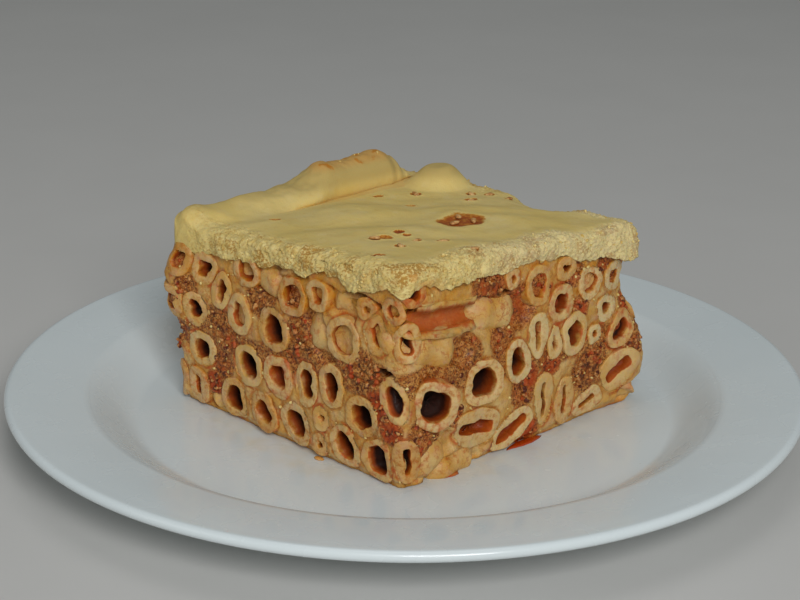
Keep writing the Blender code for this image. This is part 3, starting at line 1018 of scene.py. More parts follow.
def macaroni_end(side, around, up, axis, radius, kind, wall, depth, draw):
    """One macaroni seen end on: rings over its skin, its rounded rim and down its bore."""
    inner = bore_of(radius, axis, wall * draw.uniform(0.9, 1.15), kind)
    for waves in (2, 3, 5, 8, 11):
        inner = inner + draw.uniform(0.03, 0.6 / (waves + 1)) * np.sin(waves * BEARINGS + draw.uniform(0, 6))
    inner = np.clip(inner, 0.4, radius - 1.1)
    proud, turned = draw.uniform(-0.30, 0.25), 0.0
    for standing_side, along, stands, degrees in STANDING:
        if standing_side == side and abs(float(around_at(side, along)) - around) < 0.2:
            proud, turned = stands, degrees
    middle, along, upward, outward = end_frame(around, up, side, turned)
    tip, nod = draw.uniform(-0.08, 0.08), draw.uniform(-0.08, 0.08)
    drift = np.array([draw.uniform(-0.13, 0.13), draw.uniform(-0.10, 0.10)])
    lip, inner_lip = 0.34, 0.30
    floor = BORE_FILLED[kind][0] if kind in BORE_FILLED else depth
    rings = [(radius, -depth * share, 0.0) for share in (1.0, 0.5, 0.22)] + [(radius, -lip, 0.0)]
    for turn in (30, 60, 90):
        angle = math.radians(turn)
        rings.append((radius - lip * (1 - math.cos(angle)), -lip + lip * math.sin(angle), 0.0))
    rings.append(((radius + inner) / 2, 0.06, 0.0))
    for turn in (90, 60, 30):
        angle = math.radians(turn)
        rings.append((inner + inner_lip * (1 - math.cos(angle)), inner_lip * (math.sin(angle) - 1), 0.0))
    for share in (0.03, 0.08, 0.16, 0.3, 0.6, 1.0):
        rings.append((inner * (1 - 0.12 * share), -inner_lip - (depth - 0.5) * share, share))
    rings.append((inner * 0.04, 0.1 - depth, 1.0))
    points, deep = [], []
    for outline, height, inside in rings:
        tilt = tip * outline * np.cos(BEARINGS) + nod * outline * np.sin(BEARINGS)
        lift = height + (proud + tilt) * max(0.0, 1.0 + height / 5.0)
        sunk = -min(0.0, height)
        run = outline * np.cos(BEARINGS) + drift[0] * sunk
        rise = outline * np.sin(BEARINGS) + drift[1] * sunk
        ring = middle + np.outer(run, along) + np.outer(rise, upward) + np.outer(lift, outward)
        if not turned:
            # Near its mouth an end follows the cut face, which turns with the corner.
            follows = float(smooth((height + 3.4) / 2.6)) if depth > 4.3 else 1.0
            on_face = side_point(around + run, np.maximum(up + rise, 0.2), lift)
            ring = follows * on_face + (1 - follows) * ring
        points.append(ring)
        deep.append(np.full(len(BEARINGS), inside))
    return np.array(points), np.concatenate(deep), floor


def macaroni_points(ends, outlines, wall, depth):
    """Points, faces and paint of all the ends in a list, and their bores for the filling."""
    draw = random.Random(29)
    made = {}
    bores = []
    for (side, around, up, wide, tall, turn, kind), radius in zip(ends, outlines):
        # Near a corner an end is short, or it would meet the ends of the other side.
        to_corner = min(abs(float(apart(around, SIDE_STARTS[s]))) for s in SIDES)
        deep = depth if to_corner > 15 else 6.5 if to_corner > 12 else 4.2
        deep = min(deep, MOUTH_DEPTH) if kind == "mouth" else deep
        axis = math.radians(turn) + (0.0 if wide > tall else math.pi / 2)
        rings, inside, floor = macaroni_end(side, around, up, axis, radius, kind, wall, deep, draw)
        store = made.setdefault(side, {key: [] for key in ("points", "faces") + PAINTS})
        start = sum(len(p) for p in store["points"])
        flat = ruffled(rings.reshape(-1, 3))
        store["points"].append(flat)
        store["faces"] += grid_faces(len(rings), len(BEARINGS), True, True, start)
        # Down the bore the wall is painted brown, then near black as painted shade.
        store["depth"].append(inside * (0.16 if kind == "mouth" else max(deep, 7.0) / 14.0))
        soak = draw.uniform(0.0, 0.40) + 0.25 * (up > 40) + (0.2 if up < 10 else 0.0)
        store["soak"].append(np.full(len(flat), soak) + 0.3 * (inside > 0))
        oil = draw.uniform(-0.05, 0.10) if kind != "half" else 0.2
        # The corner between the front and the right side took up the most oil.
        oil += 0.12 * float(smooth(1.3 - abs(float(apart(around, SIDE_STARTS["right"]))) / 22.0))
        row = np.repeat(np.arange(len(rings)), len(BEARINGS))
        oil = oil + 0.15 * np.clip(inside * 8, 0, 1)
        oil += 0.16 * smooth(0.5 + 1.6 * humps(flat, 6.0, 73.0)) * (row < SKIN_ROWS)
        oil += 0.36 * np.interp(row, (8, 10, 13), (0, 1, 0)) * smooth(0.3 + 1.8 * humps(flat, 3.5, 75.0))
        store["oil"].append(oil + 0.5 * (kind == "mouth") * (inside > 0))
        # Rims on the front are painted less pale: painted shade on that side.
        paleness = (0.6 if side == "front" else 1.0) * draw.uniform(0.3, 1.0)
        store["rim"].append(paleness * np.interp(row, (3, 6, 8, 11), (0, 1, 1, 0)))
        store["butter"].append(np.full(len(flat), 0.3 * float(smooth((up - 36) / 12))))
        bores.append((around, up, radius, min(floor, deep), kind))
    return made, bores


def lengthwise_piece(side, start, end, radius, behind, opened, draw):
    """One macaroni lying along a side. Opened, the cut ran along it and shows its channel."""
    steps, count = 26, 28
    shares = np.linspace(0, 1, steps)
    bow = draw.uniform(-0.8, 0.8)
    alongs = start[0] + (end[0] - start[0]) * shares
    ups = start[1] + (end[1] - start[1]) * shares + bow * np.sin(np.pi * shares)
    around = np.array([float(around_at(side, np.clip(a, 0, SIDE_LENGTHS[side]))) for a in alongs])
    to_end = np.minimum(shares, 1 - shares) * math.hypot(end[0] - start[0], end[1] - start[1])
    middles = side_point(around, ups, -behind - 0.45 * radius * smooth(1 - to_end / (0.9 * radius)))
    _, _, out_x, out_y = plan_at(around)
    outward = np.stack([out_x, out_y, 0 * out_x], axis=-1)
    ahead = np.gradient(middles, axis=0)
    ahead /= np.linalg.norm(ahead, axis=1)[:, None]
    aside = np.cross(outward, ahead)
    aside /= np.linalg.norm(aside, axis=1)[:, None]
    wall = 2.3
    if opened:
        # A gutter: the outer skin, the lips where the knife passed, and the channel.
        outer = np.radians(np.linspace(200, -20, 18) - 180)
        inner = np.radians(np.linspace(-20, 200, 16) - 180)
        section = [(math.cos(a) * radius, math.sin(a) * radius, 0.0) for a in outer]
        section += [(math.cos(a) * (radius - wall), math.sin(a) * (radius - wall) * 0.8, 0.5) for a in inner]
    else:
        bearings = np.linspace(0, 2 * np.pi, count, endpoint=False)
        section = [(math.cos(a) * radius, math.sin(a) * radius * 0.92, 0.0) for a in bearings]
    section = np.array(section)
    ends = np.minimum(shares, 1 - shares) * np.linalg.norm(middles[-1] - middles[0])
    rounding = np.sqrt(np.clip(1 - np.clip(1 - ends / 1.4, 0, 1) ** 2, 0.02, 1))
    swell = 1 + 0.04 * np.sin(shares * 9 + draw.uniform(0, 6)) - 0.12 * (1 - rounding)
    points = (
        middles[:, None, :]
        + aside[:, None, :] * (section[None, :, :1] * swell[:, None, None])
        + outward[:, None, :] * (section[None, :, 1:2] * swell[:, None, None])
    )
    # The channel is painted brown like a bore's lining, with a little painted shade.
    depth = np.tile(section[:, 2], steps) * 0.3
    flat = points.reshape(-1, 3)
    columns = len(section)
    faces = grid_faces(steps, columns, True)
    first, last = len(flat), len(flat) + 1
    caps = np.array([middles[0] - ahead[0] * 0.5, middles[-1] + ahead[-1] * 0.5])
    if opened:
        caps = np.array([points[0].mean(axis=0), points[-1].mean(axis=0)])
    flat = np.concatenate([flat, caps])
    for column in range(columns):
        after = (column + 1) % columns
        faces.append((after, column, first))
        faces.append(((steps - 1) * columns + column, (steps - 1) * columns + after, last))
    return ruffled(flat), faces, np.concatenate([depth, [0.2, 0.2]]), opened


def pan_side_macaroni():
    """Macaroni that lay along the tin: rows of long ones, flattened a little."""
    draw = random.Random(17)
    pieces = []
    for up in (5.4, 15.2, 25.6, 35.6):
        along = draw.uniform(-8, 2)
        while along < SIDE_LENGTHS["pan"] - 6:
            length = draw.uniform(15, 46)
            start, end = max(along, 1.5), min(along + length, SIDE_LENGTHS["pan"] - 1.5)
            if end - start > 8:
                lean, lifted = draw.uniform(-2.4, 2.4), draw.uniform(-1.0, 1.0) * (up > 10)
                radius, behind = draw.uniform(4.9, 6.3), draw.uniform(4.0, 5.6)
                lean = max(lean, 0.0) if up < 10 else lean
                first, last = (start, up + lifted + lean), (end, up + lifted - lean)
                pieces.append(("pan", first, last, radius, behind, False))
            along += length + draw.uniform(0.2, 4.0)
    return pieces


# ---------------------------------------------------------------------------------------------
# The filling.


def pockets_around():
    """Every pocket of meat as (distance round the cut, height, radius, redness)."""
    pockets = []
    for side, chart in (("front", FRONT_POCKETS), ("right", RIGHT_POCKETS)):
        pockets += [(float(around_at(side, a)), up, r, red) for a, up, r, red in chart]
    draw = random.Random(3)
    for side in ("back", "pan"):
        for _ in range(12):
            along = draw.uniform(4, SIDE_LENGTHS[side] - 4)
            up = draw.gauss(24, 9)
            radius, red = draw.uniform(4, 7), draw.uniform(0.2, 0.9)
            pockets.append((float(around_at(side, along)), up, radius, red))
    return pockets


def meat_around(around, up):
    """How much of the filling is meat, and how red it is, at points on the cut's sides."""
    meat, red = np.zeros(len(around)), np.zeros(len(around))
    for place_around, place_up, radius, redness in pockets_around():
        reach = np.hypot(apart(around, place_around), up - place_up) / radius
        here = smooth(1.45 - reach)
        meat = np.maximum(meat, here)
        red = np.maximum(red, here * redness)
    x, y, _, _ = plan_at(around)
    above, below = up - mince_bottom(x, y), mince_top(x, y) - up
    band = smooth((above + 2.5) / 3) * smooth((below + 2.5) / 3)
    return np.maximum(meat, 0.55 * band), red


def sink_bores(skin, around, up, bores):
    """Sinks the filling into every macaroni end, as far as what its bore holds, and paints it."""
    for place_around, place_up, radius, floor, kind in bores:
        across, rise = apart(around, place_around), up - place_up
        near = np.hypot(across, rise) < 10
        if not near.any():
            continue
        bearing = np.mod(np.arctan2(rise[near], across[near]), 2 * np.pi)
        reach = np.hypot(across[near], rise[near])
        edge = np.interp(bearing, BEARINGS, radius, period=2 * np.pi)
        under = np.flatnonzero(near)[reach < edge - 0.6]
        if kind in BORE_FILLED:
            lumpy = 0.9 * skin["lumps"][under] if kind == "meat" else 0.5 * skin["soft"][under]
            skin["out"][under] = lumpy - floor * 0.75
            skin["meat"][under] = 1.0 if kind in ("meat", "half") else 0.0
            skin["red"][under] = BORE_FILLED[kind][1]
            # What fills a bore gets some painted shade in its cracks.
            skin["crack_shade"][under] = 0.2 if kind != "half" else 0.6
        else:
            # An open bore's floor is sunk deep and painted near black: painted shade.
            skin["out"][under] = -floor - 0.6
            skin["depth"][under] = 1.0
        # The filling dips to an oily seam along the macaroni's skin.
        seam = np.exp(-(((reach - edge - 0.2) / 0.8) ** 2)) * (reach > edge - 0.4)
        skin["out"][near] -= 0.16 * seam
        skin["soak"][near] = np.maximum(skin["soak"][near], 0.75 * seam)
        skin["red"][near] = np.maximum(skin["red"][near], 0.66 * seam * skin["patchy"][near])


def sink_lengthwise(skin, around, up):
    """Dips the filling under the macaroni that lie along a side, with oil along their edges."""
    for side, start, end, radius, _, opened in LENGTHWISE + tuple(pan_side_macaroni()):
        first, last = float(around_at(side, start[0])), float(around_at(side, end[0]))
        run = np.array([last - first, end[1] - start[1]])
        to_start = np.stack([apart(around, first), up - start[1]], axis=-1)
        share = np.clip(to_start @ run / (run @ run), 0.0, 1.0)
        reach = np.linalg.norm(to_start - share[:, None] * run, axis=1) / radius
        closed_dip, open_dip = 2.0 * smooth((0.92 - reach) / 0.45), 5.0 * smooth((0.75 - reach) / 0.2)
        on_this_side = np.abs(apart(around, (first + last) / 2)) < 60
        skin["out"] -= (open_dip if opened else closed_dip) * on_this_side
        edge = np.exp(-(((reach - 1.0) / 0.10) ** 2))
        skin["red"] = np.maximum(skin["red"], 0.5 * skin["patchy"] * edge)


def filling_grid(bores, settings):
    """The filling's side as a grid round the cut, with its paint, its lumps and the bores sunk in."""
    columns, rows = 860, 112
    ring = np.linspace(0, AROUND, columns, endpoint=False)
    x, y, _, _ = plan_at(ring)
    low, high = 0.25, crust_bottom(x, y) + 1.2
    shares = np.linspace(0, 1, rows)
    up = (low + (high - low)[None, :] * shares[:, None]).ravel()
    around = np.tile(ring, (rows, 1)).ravel()
    base = side_point(around, up)
    meat, red = meat_around(around, up)
    warped = base + 1.0 * np.stack([humps(base, 1.5, seed) for seed in (1.0, 5.0, 7.0)], axis=-1)
    lumps = granules(warped, settings.grain / MM * 1.7, 4.0)
    small = granules(warped, settings.grain / MM * 0.9, 9.0)
    soft = humps(base, 3.4, 2.0) + 0.6 * humps(base, 1.4, 27.0)
    foot = smooth((3.4 - up) / 3.0)
    out = 0.40 * soft - settings.recess / MM + meat * (0.75 * lumps + 0.40 * small - 0.75) - 1.7 * foot
    clump_up, clump_radius, clump_out = CORNER_CLUMP
    clump = np.hypot(apart(around, 0.0), up - clump_up) / clump_radius
    out += clump_out * smooth(1.25 - clump)
    meat = np.maximum(meat, smooth(1.5 - clump))
    # Painted shade in the cracks between the meat's lumps.
    crack_shade = meat * (1 - np.clip(lumps * 1.7, 0, 1)) * smooth(0.65 + 1.5 * humps(base, 2.6, 44.0))
    depth = np.zeros(len(base))
    # Each slot is sunk in and painted dark as painted shade.
    for side, along, slot_up, long, tall, deep in SLOTS:
        from_slot = apart(around, float(around_at(side, along)))
        reach = np.hypot(from_slot / (long / 2), (up - slot_up) / (tall / 2))
        here = smooth((1.25 - reach) / 0.5)
        out -= deep * here
        depth = np.maximum(depth, here)
    skin = {"out": out, "meat": meat, "red": red, "depth": depth, "crack_shade": crack_shade}
    skin.update({"lumps": lumps, "soft": soft, "soak": np.full(len(base), 0.15)})
    skin["patchy"] = smooth(0.2 + 2.2 * humps(base, 6.0, 6.0))
    sink_bores(skin, around, up, bores)
    sink_lengthwise(skin, around, up)
    # Under the crust the filling shrank back into buttery gaps, which are painted dark as painted shade.
    x, y, out_x, out_y = plan_at(around)
    under_crust = smooth((up - crust_bottom(x, y) + 4.0) / 3.0)
    gaps = under_crust * smooth(0.1 + 2.4 * humps(base, 6.0, 91.0))
    out = skin["out"] - (1.6 * gaps + 0.5 * under_crust)
    depth = np.maximum(skin["depth"], 0.75 * gaps)
    points = base + np.stack([out_x, out_y, 0 * out_x], axis=-1) * out[:, None]
    at_foot = smooth((2.6 - up) / 2.4)
    oily_foot = 0.55 * at_foot * smooth(0.2 + 2.2 * humps(base, 9.0, 93.0))
    paint = {key: skin[key] for key in ("meat", "crack_shade", "soak")}
    paint["red"] = np.maximum(np.maximum(skin["red"], 0.35 * under_crust), oily_foot)
    paint["depth"] = depth
    paint["butter"] = 0.30 * smooth((up - 36) / 12) + 0.4 * at_foot
    paint["grainy"] = smooth((skin["meat"] - 0.5) / 0.4) * (out > -1.6) * (depth < 0.3)
    paint["sprinkled"] = np.where(out > -1.2, 1.0, 0.0)
    return points, rows, columns, paint


def close_with_rings(points, faces, ring, shrinks, height, paint):
    """Closes an opening with rings drawn in towards the middle and a last point."""
    previous = list(ring)
    points = list(points)
    for shrink in shrinks:
        new = []
        for index in ring:
            x, y, _ = points[index]
            new.append(len(points))
            points.append((x * shrink, y * shrink, float(height(x * shrink, y * shrink))))
        join_rings(faces, previous, new)
        previous = new
    points.append((0.0, 0.0, float(height(0.0, 0.0))))
    close_ring(faces, previous, len(points) - 1)
    for key in paint:
        paint[key] = np.concatenate([paint[key], np.zeros(len(points) - len(paint[key]))])
    return points, faces


# ---------------------------------------------------------------------------------------------
# The pastry.

# Rows of points down the broken sides of the crust.
WALL_ROWS = 26


def roll_at(share):
    """Height and width of the rolled edge at a share of its length."""
    knots = [k[0] for k in ROLL_SHAPE]
    index = min(max(np.searchsorted(knots, share) - 1, 0), len(ROLL_SHAPE) - 2)
    (from_share, low, narrow), (to_share, high, wide) = ROLL_SHAPE[index], ROLL_SHAPE[index + 1]
    along = float(smooth((share - from_share) / (to_share - from_share)))
    return low + (high - low) * along, narrow + (wide - narrow) * along


def pastry_grid():
    """Points of the sheet's top, row by row along Y, each row from the cut edge over the roll."""
    flat_steps, roll_steps, rows = 210, 52, 236
    cut_drop = 2.2
    corner = 6.0
    top = []
    for row in range(rows):
        share = row / (rows - 1)
        y = HALF_Y * (2 * share - 1)
        rounding = max(0.0, corner - (HALF_Y - abs(y)))
        pulled = corner - math.sqrt(max(corner**2 - rounding**2, 0.0))
        left, right = -HALF_X + 0.5 * pulled, HALF_X - 0.7 * pulled
        roll_height, roll_width = roll_at(share)
        groove = left + roll_width
        flat_x = np.linspace(right, groove, flat_steps)
        flat_z = crust_top(flat_x, np.full(flat_steps, y))
        cut_round = 5.5 + 3.0 * float(wave(y, 0.0, 9.0, 53.0))
        fall = np.clip(1 - (right - flat_x) / cut_round, 0, 1)
        flat_z = flat_z - cut_drop * (1 - np.sqrt(1 - np.minimum(fall, 0.99) ** 2))
        inner = smooth((flat_x - groove) / 8) * smooth((right - flat_x) / 12)
        flat_z = flat_z + 0.9 * wave((flat_x + y) / 46.0, (y - flat_x) / 17.0, 1.0, 12.0) * inner
        flat_z = flat_z + 0.35 * wave(flat_x, y, 7.0, 18.0) * inner
        turns = np.radians(np.linspace(-38, 180, roll_steps + 1)[1:])
        middle = left + roll_width / 2
        base = flat_z[-1]
        roll_x = middle + roll_width / 2 * np.cos(turns)
        roll_z = base + roll_height * (0.25 + 0.75 * np.sin(turns))
        # Towards the front-left corner the roll opens into a fold that grows out of the sheet.
        tight = float(smooth((share - 0.22) / 0.26))
        across = np.linspace(0.0, 1.0, roll_steps + 1)[1:]
        fold_x = groove - roll_width * across
        fold_z = base + roll_height * smooth(across / 0.7)
        fold_z -= 0.75 * roll_height * smooth((across - 0.72) / 0.28)
        roll_x, roll_z = tight * roll_x + (1 - tight) * fold_x, tight * roll_z + (1 - tight) * fold_z
        row_x, row_z = np.concatenate([flat_x, roll_x]), np.concatenate([flat_z, roll_z])
        end_round = 5.5 + 3.0 * wave(row_x, math.copysign(60.0, y), 9.0, 57.0)
        end = np.clip(1 - (HALF_Y - abs(y)) / end_round, 0, 0.99)
        end_drop = cut_drop + 1.6 * smooth((groove - row_x) / 6)
        row_z = row_z - end_drop * (1 - np.sqrt(1 - end**2))
        uneven = 0.7 * wave(row_x, y, 6.0, 44.0)
        uneven += 0.35 * wave(row_x, y, 2.2, 47.0) * smooth((share - 0.2) * 4)
        row_z = row_z + uneven * smooth((groove - row_x) / 5)
        top.append(np.stack([row_x, np.full(len(row_x), y), row_z], axis=-1))
    return np.array(top)


def pastry_rim(rows, columns):
    """The sheet's outer points, once round, and the direction out of the cut at each of them."""
    rim = list(range(columns))
    rim += [row * columns + columns - 1 for row in range(1, rows)]
    rim += [(rows - 1) * columns + column for column in range(columns - 2, -1, -1)]
    rim += [row * columns for row in range(rows - 2, 0, -1)]
    out = np.zeros((len(rim), 3))
    out[:columns, 1] = -1
    out[columns : columns + rows - 1, 0] = -1
    out[columns + rows - 1 : 2 * columns + rows - 2, 1] = 1
    out[2 * columns + rows - 2 :, 0] = 1
    # It turns gently round the corners.
    reach = 9
    padded = np.concatenate([out[-reach:], out, out[:reach]])
    out = np.array([padded[i : i + 2 * reach + 1].mean(axis=0) for i in range(len(out))])
    return rim, out / np.maximum(np.linalg.norm(out, axis=1), 1e-6)[:, None]


def pastry_foot(edge):
    """Lower edge of the broken sides below the rim, and how far the crust hangs there."""
    foot = edge.copy()
    foot[:, 0] = np.clip(foot[:, 0], -HALF_X, HALF_X)
    foot[:, 2] = crust_bottom(foot[:, 0], foot[:, 1]) + 0.2
    foot[:, 2] += 1.3 * humps(foot * [1, 1, 0], 6.0, 3.0) + 0.8 * humps(foot * [1, 1, 0], 2.0, 8.0)
    hang = np.zeros(len(foot))
    for hang_x, hang_y, wide, drop in HANGS:
        reach = np.hypot(foot[:, 0] - hang_x, foot[:, 1] - hang_y) / wide
        hang += drop * np.exp(-(reach**2))
    foot[:, 2] -= hang
    return foot, hang


def pastry_body(top):
    """Points and faces of the crust before it crumbled: its top, its sides and its underside."""
    rows, columns, _ = top.shape
    rim, out = pastry_rim(rows, columns)
    edge = top.reshape(-1, 3)[rim]
    foot, hang = pastry_foot(edge)
    broad = 0.9 * humps(foot * [1, 1, 0], 7.0, 83.0)
    rings = []
    for step in range(1, WALL_ROWS + 1):
        share = step / WALL_ROWS
        bulge = (0.2 + broad) * math.sin(math.pi * share) + share * (0.3 * hang - 0.3 * share**3)
        rings.append(edge * (1 - share) + foot * share + out * bulge[:, None])
    for shrink in (0.9, 0.6, 0.3):
        ring = foot * np.array([shrink, shrink, 1.0])
        ring[:, 2] = crust_bottom(ring[:, 0], ring[:, 1]) + 0.6
        rings.append(ring)
    faces = grid_faces(rows, columns)
    previous, start = rim, rows * columns
    for _ in rings:
        new = list(range(start, start + len(rim)))
        join_rings(faces, previous, new)
        previous, start = new, start + len(rim)
    close_ring(faces, previous, start)
    middle = np.array([[0.0, 0.0, float(crust_bottom(0.0, 0.0)) + 0.6]])
    return np.concatenate([top.reshape(-1, 3)] + rings + [middle]), faces, out


def how_broken(points, top_count, on_wall, out):
    """How broken the surface is: fully on the cut walls, fading out over the top beside them."""
    x, y, _ = points.T
    inward = np.minimum(np.minimum(HALF_X - x, HALF_Y - y), HALF_Y + y)
    uneven = 8.0 * humps(points, 13.0, 13.0) + 3.0 * humps(points, 3.0, 23.0)
    uneven += 2.0 * humps(points, 1.0, 25.0)
    broken = smooth(1.0 - (inward - 1.5 + uneven) / 8.0)
    broken[top_count:] = 1.0
    # The front-left corner was pinched together, and the pan side never met the knife.
    broken *= 1 - 0.85 * np.exp(-(((x + HALF_X) ** 2 + (y + HALF_Y) ** 2) / 19.0**2))
    outward = out[(np.arange(len(points)) - top_count) % len(out)]
    broken[on_wall & (outward[:, 0] < -0.7)] *= 0.25
    return broken


def pastry_normals(top, out, count):
    """Direction that each point moves in: away from the top, outward on the sides, else none."""
    facing = np.cross(np.gradient(top, axis=1), np.gradient(top, axis=0))
    facing /= np.linalg.norm(facing, axis=2)[:, :, None]
    facing = np.where(facing[:, :, 2:] < 0, -facing, facing).reshape(-1, 3)
    normals = np.zeros((count, 3))
    normals[: len(facing)] = facing
    normals[len(facing) : len(facing) + WALL_ROWS * len(out)] = np.tile(out, (WALL_ROWS, 1))
    return normals


def press_spots(points, top_count):
    """Presses a dimple under each browned bubble, and gives how browned every point is."""
    browned = np.zeros(len(points))
    for spot_x, spot_y, radius, brown, _ in BROWNED:
        reach = np.hypot(points[:, 0] - spot_x, points[:, 1] - spot_y) / radius
        close = (reach < 2.2) & (np.arange(len(points)) < top_count)
        near = reach[close] + 0.30 * humps(points[close], radius * 0.8, spot_x)
        points[close, 2] -= dimple_depth(radius) * smooth((1.15 - near) / 0.6)
        points[close, 2] += 0.18 * np.exp(-(((near - 1.25) / 0.3) ** 2))
        browned[close] = np.maximum(browned[close], brown * smooth((1.15 - near) / 0.35))
    return browned


def dimple_depth(radius):
    """How deep the dimple under a browned bubble is."""
    return min(0.9, 0.25 * radius) * 0.8


def build_pastry(settings):
    """The crust: a swelling top, a rolled edge, and sides that crumbled under the knife."""
    top = pastry_grid()
    points, faces, out = pastry_body(top)
    top_count = top.shape[0] * top.shape[1]
    wall_stop = top_count + WALL_ROWS * len(out)
    on_wall = np.zeros(len(points), bool)
    on_wall[top_count:wall_stop] = True
    broken = how_broken(points, top_count, on_wall, out)
    visible = (broken > 0.02) | (points[:, 0] < -HALF_X + 16)
    visible[wall_stop:] = False
    lumps, small, torn, fine = np.zeros((4, len(points)))
    seen = points[visible]
    warped = seen + 0.5 * np.stack([humps(seen, 0.9, seed) for seed in (1.0, 5.0, 7.0)], axis=-1)
    lumps[visible] = granules(warped, settings.granule / MM * 2.2, 5.0)
    small[visible] = granules(warped, settings.granule / MM * 1.1, 15.0)
    torn[visible] = humps(seen, 3.6, 31.0)
    fine[visible] = humps(seen, 1.1, 37.0)
    away = broken * (0.22 * lumps + 0.18 * small - 0.20 + 0.6 * torn + 0.45 * fine)
    points = points + pastry_normals(top, out, len(points)) * away[:, None]
    browned = press_spots(points, top_count)

    # The crest of the roll is golden, and so is the corner where the crust hangs; its crease is painted
    # golden and a little brown, as painted shade.
    x, y, _ = points.T
    roll = top[:, :, 0].reshape(-1) < -HALF_X + 18
    share = (y[:top_count] + HALF_Y) / (2 * HALF_Y)
    level = points[:top_count, 2] - between_corners(TOP_AT_CORNERS, x[:top_count], y[:top_count])
    crest = np.zeros(len(points))
    crest[:top_count] = np.where(roll, smooth((level - 6.2) / 3.5), 0.0)
    patchy = smooth(0.15 + 1.6 * humps(points, 3.2, 41.0))
    browned = np.maximum(browned, 0.30 * crest * patchy)
    golden = 0.7 * crest
    golden[on_wall & (x < -HALF_X + 1.0)] = 0.8
    # Painted shade along the roll's crease, golden to brown.
    crease_shade = smooth((share - 0.1) * 2) * roll * smooth((1.2 - np.abs(level)) / 1.5)
    golden[:top_count] = np.maximum(golden[:top_count], 0.5 * crease_shade)
    browned[:top_count] = np.maximum(browned[:top_count], 0.30 * crease_shade**3 * patchy[:top_count])
    # Parts of the top that stand higher are painted darker: painted shade, and partly a deeper bake.
    raised = np.zeros(len(points))
    raised[:top_count] = smooth((level - 1.0) / 5.0)
    near_corner = np.exp(-(((x - HALF_X) ** 2 + (y + HALF_Y) ** 2) / 15.0**2)) * on_wall
    golden = np.maximum(golden, 0.8 * near_corner * smooth(0.3 + 2.0 * humps(points, 3.6, 95.0)))
    crumbly = broken**3 * smooth(0.3 + 1.8 * humps(points, 4.0, 79.0)) + 0.1 * crest
    paint = {
        "raised": raised,
        "floury": smooth((y + 30.0) / 26.0) * smooth((x - 20.0) / 10.0),
        "broken": broken,
        # Painted shade in the cracks between the granules.
        "crack_shade": broken * (1 - np.clip(lumps * 1.8, 0, 1)),
        "browned": browned,
        "golden": golden,
        "crumbly": crumbly * visible,
        "porous": broken * smooth(0.1 + 2.6 * humps(points, 6.0, 89.0)),
    }
    return points, faces, paint


# ---------------------------------------------------------------------------------------------
# Scattered things, made with Geometry Nodes.


def new_tree(name, inputs, output):
    """A node group. Each input is given as its kind of socket, or as the number it starts from."""
    tree = bpy.data.node_groups.new(name, "GeometryNodeTree")
    for label, given in inputs.items():
        kind = given if isinstance(given, str) else "Int" if isinstance(given, int) else "Float"
        socket = tree.interface.new_socket(label, in_out="INPUT", socket_type="NodeSocket" + kind)
        if not isinstance(given, str):
            socket.default_value = given
    tree.interface.new_socket(output, in_out="OUTPUT", socket_type="NodeSocketGeometry")
    return tree


